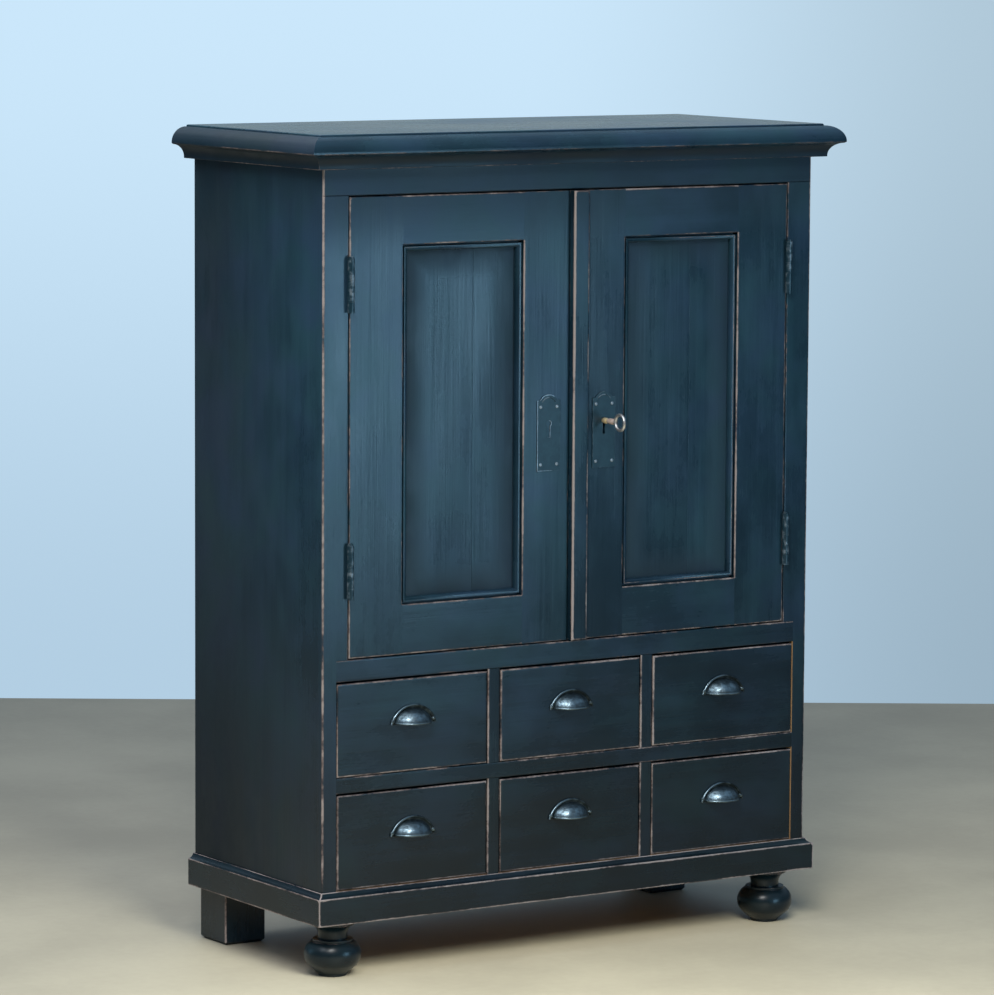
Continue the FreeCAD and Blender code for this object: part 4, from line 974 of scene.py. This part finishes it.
def add_panel_moulding(shape, low, high, front):
    """A mitred frame: a rectangle inset by the moulding's width, its ring drawn forward and rounded over."""
    grid = bmesh.ops.create_grid(shape, x_segments=1, y_segments=1, size=0.5)["verts"]
    bmesh.ops.rotate(shape, cent=(0, 0, 0), matrix=Matrix.Rotation(math.radians(90), 3, "X"), verts=grid)
    bmesh.ops.scale(shape, vec=(high.x - low.x, 1, high.z - low.z), verts=grid)
    bmesh.ops.translate(shape, vec=((low.x + high.x) / 2, front, (low.z + high.z) / 2), verts=grid)
    field = grid[0].link_faces[0]
    made = bmesh.ops.inset_individual(shape, faces=[field], thickness=MOULDING_WIDTH, use_even_offset=True)
    ring = made["faces"]
    bmesh.ops.delete(shape, geom=[field], context="FACES_ONLY")
    depth = PANEL_RECESS - MOULDING_QUIRK
    made = bmesh.ops.extrude_face_region(shape, geom=ring, use_keep_orig=True)["geom"]
    back = [part for part in made if isinstance(part, bmesh.types.BMVert)]
    bmesh.ops.translate(shape, vec=(0, depth, 0), verts=back)
    whole = list(dict.fromkeys(back + [vert for face in ring for vert in face.verts]))
    bmesh.ops.recalc_face_normals(shape, faces=list(dict.fromkeys(f for v in whole for f in v.link_faces)))
    worn = shape.verts.layers.float["worn"]
    inner = []
    for edge in dict.fromkeys(edge for face in ring for edge in face.edges):
        one, two = (vert.co for vert in edge.verts)
        outer = any(abs(one[axis] - side[axis]) < NEAR and abs(two[axis] - side[axis]) < NEAR
                    for axis in (0, 2) for side in (low, high))
        if not outer and (abs(one.x - two.x) < NEAR or abs(one.z - two.z) < NEAR):
            inner.append(edge)
    for face in bevel(shape, inner, MOULDING_ROUND, 6):
        for vert in face.verts:
            x, y, z = vert.co
            gaps = {"left": x - low.x, "right": high.x - x, "bottom": z - low.z, "top": high.z - z}
            crest = abs(y - front) < NEAR
            vert[worn] = MOULDING_WEAR[min(gaps, key=gaps.get)] if crest else 0.3
    return whole


def darken_border(shape, low, high):
    """Painted shade beside a moulding: the shade value is full there and gone a hand's width inside."""
    painted_shade = shape.verts.layers.float["painted_shade"]
    for distance in SHADE_STEPS:
        for axis in (0, 2):
            for place in (low[axis] + distance, high[axis] - distance):
                cut_across(shape, geometry_of(list(shape.verts)), axis, place)
    for vert in shape.verts:
        x, _, z = vert.co
        gap = min(x - low.x, high.x - x, z - low.z, high.z - z)
        vert[painted_shade] = min(1, max(0, (SHADE_STEPS[-1] - gap) / (SHADE_STEPS[-1] - SHADE_STEPS[0])))


def make_panel(door):
    """Two planks edge to edge, sunk behind the frame, with the moulding laid round them."""
    node = door + "_panel"
    low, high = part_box(node)
    front = FRONT_Y + PANEL_RECESS
    joint = low.x + PLANK_JOINT * (high.x - low.x)
    shape = new_shape()
    for left, right in ((low.x, joint), (joint, high.x)):
        plank = add_box(shape, (left, front, low.z), (right, high.y, high.z))
        beside = [e for e in {e for v in plank for e in v.link_edges}
                  if all(abs(v.co.x - joint) < NEAR and abs(v.co.y - front) < NEAR for v in e.verts)]
        bevel(shape, beside, 0.4 * MM, 2)
    inset = PANEL_GROOVE + MOULDING_GAP
    groove = Vector((inset, 0, inset))
    # Painted shade inside the moulding, darkest at the border.
    darken_border(shape, low + groove, high - groove)
    add_panel_moulding(shape, low + groove, high - groove, FRONT_Y + MOULDING_QUIRK)
    number_planks(shape, plank_number(node))
    return make_piece(shape, node, PAINT["upright"])


for door in ("left", "right"):
    print(make_panel(door).name)

# %% Cover strip between the doors


def make_cover_strip():
    low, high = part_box("cover_strip")
    shape = new_shape()
    strip = add_box(shape, low, high)
    wear = {"front left": 1.3, "front right": 0.92, "front top": 0.9, "front bottom": 0.9}
    ease_arrises(shape, strip, wear, 2.0 * MM, 4)
    number_planks(shape, 0.52)
    return make_piece(shape, "cover_strip", PAINT["upright"])


print(make_cover_strip().name)

# %% [markdown]
# ## Drawer fronts
# Six plain boards with rubbed edges all round. The sides behind are dovetailed into them and stay bare pine.

# %% Drawer fronts
ROWS = ("upper", "lower")
COLUMNS = ("left", "middle", "right")
DRAWERS = [f"{row}_{column}_drawer" for row in ROWS for column in COLUMNS]
FRONT_WEAR = {"front left": 1.05, "front right": 0.65, "front top": 1.0, "front bottom": 1.02}
for drawer in DRAWERS:
    make_boards(drawer + "_front", PAINT["level"], FRONT_WEAR, width=2.0 * MM)
print("drawer fronts:", len(DRAWERS))

# %% [markdown]
# ## Key plates
# An arched iron plate is nailed to each meeting stile. Both have a keyhole, but only the right one opens into
# the lock: the left one is there so that the doors look alike. The outline is drawn with a few vertices and
# one spun arc, filled, and drawn forward. Filling with triangles copes with the keyhole, which a single face
# can't go round. The flat front is then inset, so that the rubbed metal stays along the edges.

# %% Key plate helpers
PLATE_THICK = 2 * MM
ARCH_WIDTH = 32 * MM
ARCH_RISE = 9 * MM
ARCH_RADIUS = (ARCH_WIDTH ** 2 / 4 + ARCH_RISE ** 2) / (2 * ARCH_RISE)
BEAD_INSET = 4.6 * MM
BEAD_RADIUS = 0.8 * MM
NAIL_SIDE = 6 * MM
NAIL_END = 10 * MM
NAIL_RADIUS = 2.6 * MM
NAIL_HEIGHT = 1.4 * MM
KEYHOLE_RISE = 73 * MM
KEYHOLE_RADIUS = 4.6 * MM
KEYHOLE_SLOT = 4.4 * MM
KEYHOLE_DROP = 21 * MM
RUBBED_RIM = 2 * MM


def draw_arc(shape, start, centre, turn, steps):
    """A chain of edges from a vertex round a centre, in the plane of the cupboard's front."""
    made = bmesh.ops.spin(shape, geom=[start], cent=centre, axis=(0, 1, 0), angle=turn, steps=steps)
    return made["geom_last"][0]


def join(shape, verts):
    for first, second in zip(verts, verts[1:]):
        shape.edges.new((first, second))


def plate_outline(shape, middle, low, high, width, y):
    """Straight sides and shoulders under a low arch."""
    shoulder = high - ARCH_RISE
    half = width / 2
    right = shape.verts.new((middle + ARCH_WIDTH / 2, y, shoulder))
    centre = (middle, y, high - ARCH_RADIUS)
    sweep = 2 * math.asin(ARCH_WIDTH / 2 / ARCH_RADIUS)
    left = draw_arc(shape, right, centre, -sweep, 16)
    places = [(-half, shoulder), (-half, low), (half, low), (half, shoulder)]
    join(shape, [left, *[shape.verts.new((middle + x, y, z)) for x, z in places], right])


def keyhole_outline(shape, middle, height, y):
    """A round hole that opens into a slot below it."""
    half = KEYHOLE_SLOT / 2
    shoulder = height - math.sqrt(KEYHOLE_RADIUS ** 2 - half ** 2)
    right = shape.verts.new((middle + half, y, shoulder))
    sweep = 2 * math.pi - 2 * math.asin(half / KEYHOLE_RADIUS)
    left = draw_arc(shape, right, (middle, y, height), -sweep, 20)
    foot = height - KEYHOLE_DROP
    feet = [shape.verts.new((middle + side * half, y, foot)) for side in (-1, 1)]
    join(shape, [left, *feet, right])


def draw_forward(shape, edges, depth, rounding, wear):
    """Fills flat outlines, draws them towards the viewer and rounds the front edges."""
    faces = bmesh.ops.triangle_fill(shape, use_beauty=True, use_dissolve=False, edges=edges)["geom"]
    faces = [part for part in faces if isinstance(part, bmesh.types.BMFace)]
    back = faces[0].verts[0].co.y
    made = bmesh.ops.extrude_face_region(shape, geom=faces, use_keep_orig=True)["geom"]
    moved = [part for part in made if isinstance(part, bmesh.types.BMVert)]
    bmesh.ops.translate(shape, vec=(0, -depth, 0), verts=moved)
    body = list(dict.fromkeys(moved + [vert for face in faces for vert in face.verts]))
    around = list(dict.fromkeys(face for vert in body for face in vert.link_faces))
    bmesh.ops.recalc_face_normals(shape, faces=around)
    front = back - depth
    rim = {e for v in moved for e in v.link_edges if e.calc_face_angle(0) > 1}
    rim = [e for e in rim if all(abs(v.co.y - front) < NEAR for v in e.verts)]
    wear_down(shape, bevel(shape, sorted(rim, key=lambda e: e.index), rounding, 3), wear)
    flat = [face for face in shape.faces if all(abs(v.co.y - front) < NEAR for v in face.verts)]
    bmesh.ops.inset_region(shape, faces=flat, thickness=RUBBED_RIM, use_even_offset=True)
    wear_down(shape, flat, 0)


def add_dome(shape, centre, radius, height, wear):
    """A round head, wider than it is high, with its back half sunk in what it is driven into."""
    made = bmesh.ops.create_uvsphere(shape, u_segments=20, v_segments=12, radius=1)["verts"]
    bmesh.ops.scale(shape, vec=(radius, height, radius), verts=made)
    bmesh.ops.translate(shape, vec=centre, verts=made)
    worn = shape.verts.layers.float["worn"]
    for vert in made:
        vert[worn] = wear


def add_bead(shape, start, centre, axis, across, radius, turn, steps, wear):
    """A round rod bent into an arc: a circle of vertices spun about an axis, with closed ends. Its wear is a
    function of the place."""
    ring = bmesh.ops.create_circle(shape, cap_ends=True, segments=12, radius=radius)["verts"]
    facing = Vector(axis).cross(Vector(across))
    bmesh.ops.rotate(shape, cent=(0, 0, 0), matrix=facing.to_track_quat("Z", "Y").to_matrix(), verts=ring)
    bmesh.ops.translate(shape, vec=start, verts=ring)
    first = ring[0].link_faces[0]
    known = set(shape.verts)
    geometry = [first, *first.edges, *first.verts]
    bmesh.ops.spin(shape, geom=geometry, cent=centre, axis=axis, angle=turn, steps=steps)
    body = [*ring, *[vert for vert in shape.verts if vert not in known]]
    faces = list(dict.fromkeys(face for vert in body for face in vert.link_faces))
    bmesh.ops.recalc_face_normals(shape, faces=faces)
    worn = shape.verts.layers.float["worn"]
    for vert in body:
        vert[worn] = wear(vert.co)


print("arch radius", round(ARCH_RADIUS / MM, 1), "mm")

# %% Key plates


def make_plate(side):
    node = side + "_escutcheon"
    low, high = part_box(node)
    middle = (low.x + high.x) / 2
    face = FRONT_Y - PLATE_THICK
    shape = new_shape()
    plate_outline(shape, middle, low.z, high.z, high.x - low.x, FRONT_Y)
    keyhole_outline(shape, middle, low.z + KEYHOLE_RISE, FRONT_Y)
    draw_forward(shape, list(shape.edges), PLATE_THICK, 0.7 * MM, 1.3)
    worn = shape.verts.layers.float["worn"]
    # Painted highlight: on the left plate the left edge, the left half of the arch and the keyhole's right
    # side face the light and keep bright bare metal. Everywhere else the rubbed metal is held back.
    for vert in shape.verts:
        lit_left_edge = vert.co.x < low.x + 1.5 * MM or vert.co.z > high.z - ARCH_RISE and vert.co.x < middle
        lit_keyhole_side = middle < vert.co.x < middle + 2 * KEYHOLE_RADIUS and vert.co.z > low.z + 20 * MM
        if side == "right" or not (lit_left_edge or lit_keyhole_side):
            vert[worn] = min(vert[worn], 0.75)
    bead = ARCH_RADIUS - BEAD_INSET
    lean = math.asin(ARCH_WIDTH / 2 / ARCH_RADIUS)
    centre = Vector((middle, face, high.z - ARCH_RADIUS))
    out = Vector((math.sin(lean), 0, math.cos(lean)))
    start = centre + bead * out
    add_bead(shape, start, centre, (0, 1, 0), out, BEAD_RADIUS, -2 * lean, 20, lambda place: 0.8)
    for x in (low.x + NAIL_SIDE, high.x - NAIL_SIDE):
        for z in (low.z + NAIL_END, high.z - ARCH_RISE - NAIL_END):
            add_dome(shape, (x, face, z), NAIL_RADIUS, NAIL_HEIGHT, 1.25)
    return make_piece(shape, node, IRON)


for side in ("left", "right"):
    print(make_plate(side).name)

# %% [markdown]
# ## Key
# The key's ring, shank and bit have the right shape already, so they are copied. What the copy lacks is the
# turned part between the ring and the plate: a brass collar and a thicker swelling. A profile of a few points
# beside the shank is spun right round it, and the three metals are told apart by how far out each face lies.

# %% Key
COLLAR = ((1.5, 3.0), (2.0, 4.2), (4.5, 4.6), (7.5, 4.6), (10.0, 4.2), (10.6, 3.2))
SWELLING = ((12.5, 3.0), (15.0, 3.8), (19.0, 4.5), (24.0, 4.6), (28.5, 4.2), (32.0, 3.0))
RING_START = 31 * MM
COLLAR_END = 12 * MM


def add_turning(shape, x, z, profile):
    """A turned swelling: a chain of points (how far out, radius) spun round the key's own line."""
    known = set(shape.verts)
    ends = [profile[0][0], *[out for out, radius in profile], profile[-1][0]]
    widths = [0, *[radius for out, radius in profile], 0]
    chain = [shape.verts.new((x, FRONT_Y - out * MM, z + width * MM)) for out, width in zip(ends, widths)]
    join(shape, chain)
    edges = list(dict.fromkeys(edge for vert in chain for edge in vert.link_edges))
    bmesh.ops.spin(
        shape, geom=[*chain, *edges], cent=(x, 0, z), axis=(0, 1, 0),
        angle=2 * math.pi, steps=32, use_merge=True,
    )
    made = [vert for vert in shape.verts if vert not in known]
    bmesh.ops.remove_doubles(shape, verts=made, dist=0.005 * MM)
    made = [vert for vert in shape.verts if vert not in known]
    bmesh.ops.recalc_face_normals(shape, faces=list(dict.fromkeys(f for v in made for f in v.link_faces)))


def make_key():
    low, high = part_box("key")
    shape = copy_of("key")
    for profile in (COLLAR, SWELLING):
        add_turning(shape, (low.x + high.x) / 2, (low.z + high.z) / 2, profile)
    worn = shape.verts.layers.float["worn"]
    for vert in shape.verts:
        vert[worn] = 0.7
    for face in shape.faces:
        out = FRONT_Y - face.calc_center_median().y
        face.material_index = 2 if out > RING_START else 1 if out > COLLAR_END else 0
    return make_piece(shape, "key", BRASS, BRONZE, RING)


print(make_key().name)

# %% [markdown]
# ## Cup pulls
# Each drawer has a cast cup pull: a half dome that is open below, on a thin flange with a raised rim. The
# dome is a quarter arc spun round an upright axis that stands behind the drawer's face, and then cut off flat
# at the face. The rim and the lip are thin rods bent with the same spin. One pull is modelled at the origin,
# and the six on the drawers are copies of it.

# %% One cup pull
PULL_WIDTH = 82 * MM
PULL_HEIGHT = 29.5 * MM
PULL_PROUD = 25 * MM
PULL_HALF = PULL_WIDTH / 2 - 8.5 * MM
DOME_HEIGHT = PULL_HEIGHT - 6.5 * MM
DOME_PLAN = (PULL_HALF ** 2 + PULL_PROUD ** 2) / (2 * PULL_PROUD)
DOME_CROWN = 6 * MM
SHELL = 2 * MM
FLANGE_THICK = 1.6 * MM
FLANGE_RADIUS = (PULL_WIDTH ** 2 / 4 + PULL_HEIGHT ** 2) / (2 * PULL_HEIGHT)
RIM_RADIUS = 1.6 * MM
LIP_RADIUS = 1.5 * MM
EAR_RADIUS = 3.4 * MM
EAR_THICK = 2.2 * MM
SCREW_INSET = 4.4 * MM
SCREW_RISE = 4.6 * MM


def add_dome_shell(shape):
    """The hood: a quarter arc and a short crown line, spun half round and cut flat at the back."""
    foot = shape.verts.new((DOME_PLAN, 0, 0))
    reach = DOME_PLAN - DOME_CROWN
    top = draw_arc(shape, foot, (DOME_PLAN - reach, 0, 0), -math.radians(90), 14)
    bmesh.ops.scale(shape, vec=(1, 1, DOME_HEIGHT / reach), verts=shape.verts)
    crown = shape.verts.new((0, 0, DOME_HEIGHT))
    shape.edges.new((top, crown))
    profile = [*shape.verts, *shape.edges]
    bmesh.ops.spin(shape, geom=profile, cent=(0, 0, 0), axis=(0, 0, 1), angle=-math.pi, steps=56)
    bmesh.ops.remove_doubles(shape, verts=shape.verts, dist=MERGE)
    bmesh.ops.translate(shape, vec=(0, DOME_PLAN - PULL_PROUD, 0), verts=shape.verts)
    everything = [*shape.verts, *shape.edges, *shape.faces]
    bmesh.ops.bisect_plane(
        shape, geom=everything, dist=CUT, plane_co=(0, 0, 0), plane_no=(0, 1, 0), clear_outer=True,
    )
    bmesh.ops.recalc_face_normals(shape, faces=shape.faces)
    if sum(face.normal.y * face.calc_area() for face in shape.faces) > 0:
        bmesh.ops.reverse_faces(shape, faces=shape.faces)
    worn = shape.verts.layers.float["worn"]
    for vert in shape.verts:
        vert[worn] = 0.62 - 0.25 * vert.co.z / DOME_HEIGHT
    bmesh.ops.solidify(shape, geom=list(shape.faces), thickness=SHELL)


def rim_highlight(place):
    """Painted highlight: the rim is made bright on the left, where the light falls, and dull on the right."""
    return 0.42 - 0.42 * max(-1, min(1, 5 * place.x / PULL_WIDTH))


def lip_wear_and_shadow(place):
    """Fingers polish the top of the lip, and its underside is made dark as a painted shadow."""
    return 0.9 if place.z > LIP_RADIUS else 0.0


def add_flange(shape):
    known = set(shape.edges)
    right = shape.verts.new((PULL_WIDTH / 2, 0, 0))
    centre = Vector((0, 0, PULL_HEIGHT - FLANGE_RADIUS))
    lean = math.asin(PULL_WIDTH / 2 / FLANGE_RADIUS)
    left = draw_arc(shape, right, centre, -2 * lean, 48)
    join(shape, [left, right])
    outline = [edge for edge in shape.edges if edge not in known]
    draw_forward(shape, outline, FLANGE_THICK, 0.5 * MM, 0.1)
    out = Vector((math.sin(lean), 0, math.cos(lean)))
    start = centre + (FLANGE_RADIUS - RIM_RADIUS) * out + Vector((0, -FLANGE_THICK, 0))
    middle = centre + Vector((0, -FLANGE_THICK, 0))
    add_bead(shape, start, middle, (0, 1, 0), out, RIM_RADIUS, -2 * lean, 48, rim_highlight)


def add_lip(shape):
    """The rounded lower edge, where the fingers pull."""
    axis_y = DOME_PLAN - PULL_PROUD
    half_turn = math.asin(PULL_HALF / DOME_PLAN)
    out = Vector((math.sin(half_turn), -math.cos(half_turn), 0))
    centre = Vector((0, axis_y, LIP_RADIUS))
    start = centre + (DOME_PLAN - LIP_RADIUS * 0.6) * out
    add_bead(shape, start, centre, (0, 0, 1), out, LIP_RADIUS, -2 * half_turn, 48, lip_wear_and_shadow)


def add_ears(shape):
    """A small round foot at each end, with the screw through it."""
    worn = shape.verts.layers.float["worn"]
    for sign in (-1, 1):
        x = sign * (PULL_WIDTH / 2 - SCREW_INSET)
        disc = bmesh.ops.create_cone(
            shape, cap_ends=True, segments=28, radius1=EAR_RADIUS, radius2=EAR_RADIUS, depth=EAR_THICK
        )["verts"]
        bmesh.ops.rotate(shape, cent=(0, 0, 0), matrix=Matrix.Rotation(math.radians(90), 3, "X"), verts=disc)
        bmesh.ops.translate(shape, vec=(x, -EAR_THICK / 2, SCREW_RISE), verts=disc)
        rim = {e for v in disc for e in v.link_edges}
        rim = [e for e in rim if all(abs(v.co.y + EAR_THICK) < NEAR for v in e.verts)]
        for vert in disc:
            vert[worn] = 0.2
        wear_down(shape, bevel(shape, sorted(rim, key=lambda e: e.index), 0.8 * MM, 3), 0.45)
        add_dome(shape, (x, -EAR_THICK, SCREW_RISE), NAIL_RADIUS, NAIL_HEIGHT, 0.4)


def make_pattern_pull():
    shape = new_shape()
    add_dome_shell(shape)
    add_flange(shape)
    add_lip(shape)
    add_ears(shape)
    mesh = bpy.data.meshes.new("pattern_pull")
    shape.to_mesh(mesh)
    shape.free()
    return mesh


PATTERN_PULL = make_pattern_pull()
print("one pull has", len(PATTERN_PULL.polygons), "faces")

# %% The six pulls


def hang_pull(drawer):
    node = drawer + "_pull"
    low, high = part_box(node)
    shape = bmesh.new()
    shape.from_mesh(PATTERN_PULL)
    bmesh.ops.translate(shape, vec=((low.x + high.x) / 2, FRONT_Y, low.z), verts=shape.verts)
    return make_piece(shape, node, PEWTER)


for drawer in DRAWERS:
    hang_pull(drawer)
bpy.data.meshes.remove(PATTERN_PULL)
print("pulls hung:", len(DRAWERS))

# %% [markdown]
# ## Hinges, back and bottom
# The hinges are copied and their sharp rims rounded a little, so that each knuckle shows as a bright line.
# The back is six planks side by side with eased edges. The bottom board was painted only on its front edge,
# which shows in the gap under the drawers.

# %% Hinges, back boards and bottom board
BACK_PLANKS = 6
HINGES = ("hinge_frame_leaves", "hinge_pins", "left_hinge_leaves", "right_hinge_leaves")


def make_hinges(node):
    shape = copy_of(node)
    worn = shape.verts.layers.float["worn"]
    rims = [e for e in shape.edges if e.is_convex and e.calc_face_angle(0) > 1]
    for vert in shape.verts:
        vert[worn] = 0.5
    wear_down(shape, bevel(shape, rims, 0.3 * MM, 2), 0.75)
    return make_piece(shape, node, IRON)


def make_back():
    low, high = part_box("back_boards")
    step = (high.x - low.x) / BACK_PLANKS
    shape = new_shape()
    for count in range(BACK_PLANKS):
        left = low.x + count * step
        plank = add_box(shape, (left, low.y, low.z), (left + step, high.y, high.z))
        ease_arrises(shape, plank, {"back left": 0, "back right": 0, "front left": 0, "front right": 0})
    number_planks(shape, plank_number("back_boards"))
    return make_piece(shape, "back_boards", PINE["upright"])


def make_bottom():
    shape = copy_of("bottom_board")
    number_planks(shape, plank_number("bottom_board"))
    for face in shape.faces:
        face.material_index = 1 if face.normal.y < -0.7 else 0
    return make_piece(shape, "bottom_board", PINE["level"], PAINT["level"])


for node in HINGES:
    make_hinges(node)
print(make_back().name, make_bottom().name)

# %% [markdown]
# ## Pieces that keep their construction shape
# Boards inside the cupboard and the lock already have the right shape. They only need a finish.

# %% Finishes for plain pieces


def finish_node(node, material):
    data = frame["nodes"][node].data
    data.materials.clear()
    data.materials.append(material)


BARE = {
    "corner_blocks": "level", "cupboard_floor": "level", "cupboard_shelf": "level",
    "shelf_cleats": "deep", "drawer_runners": "deep", "door_stop": "level",
}
for node, strokes in BARE.items():
    finish_node(node, PINE[strokes])
for drawer in DRAWERS:
    finish_node(drawer + "_box", PINE["deep"])
for node in ("left_bolt", "left_bolt_plate", "lock_bolt", "lock_case"):
    finish_node(node, STEEL)
print("plain pieces finished")
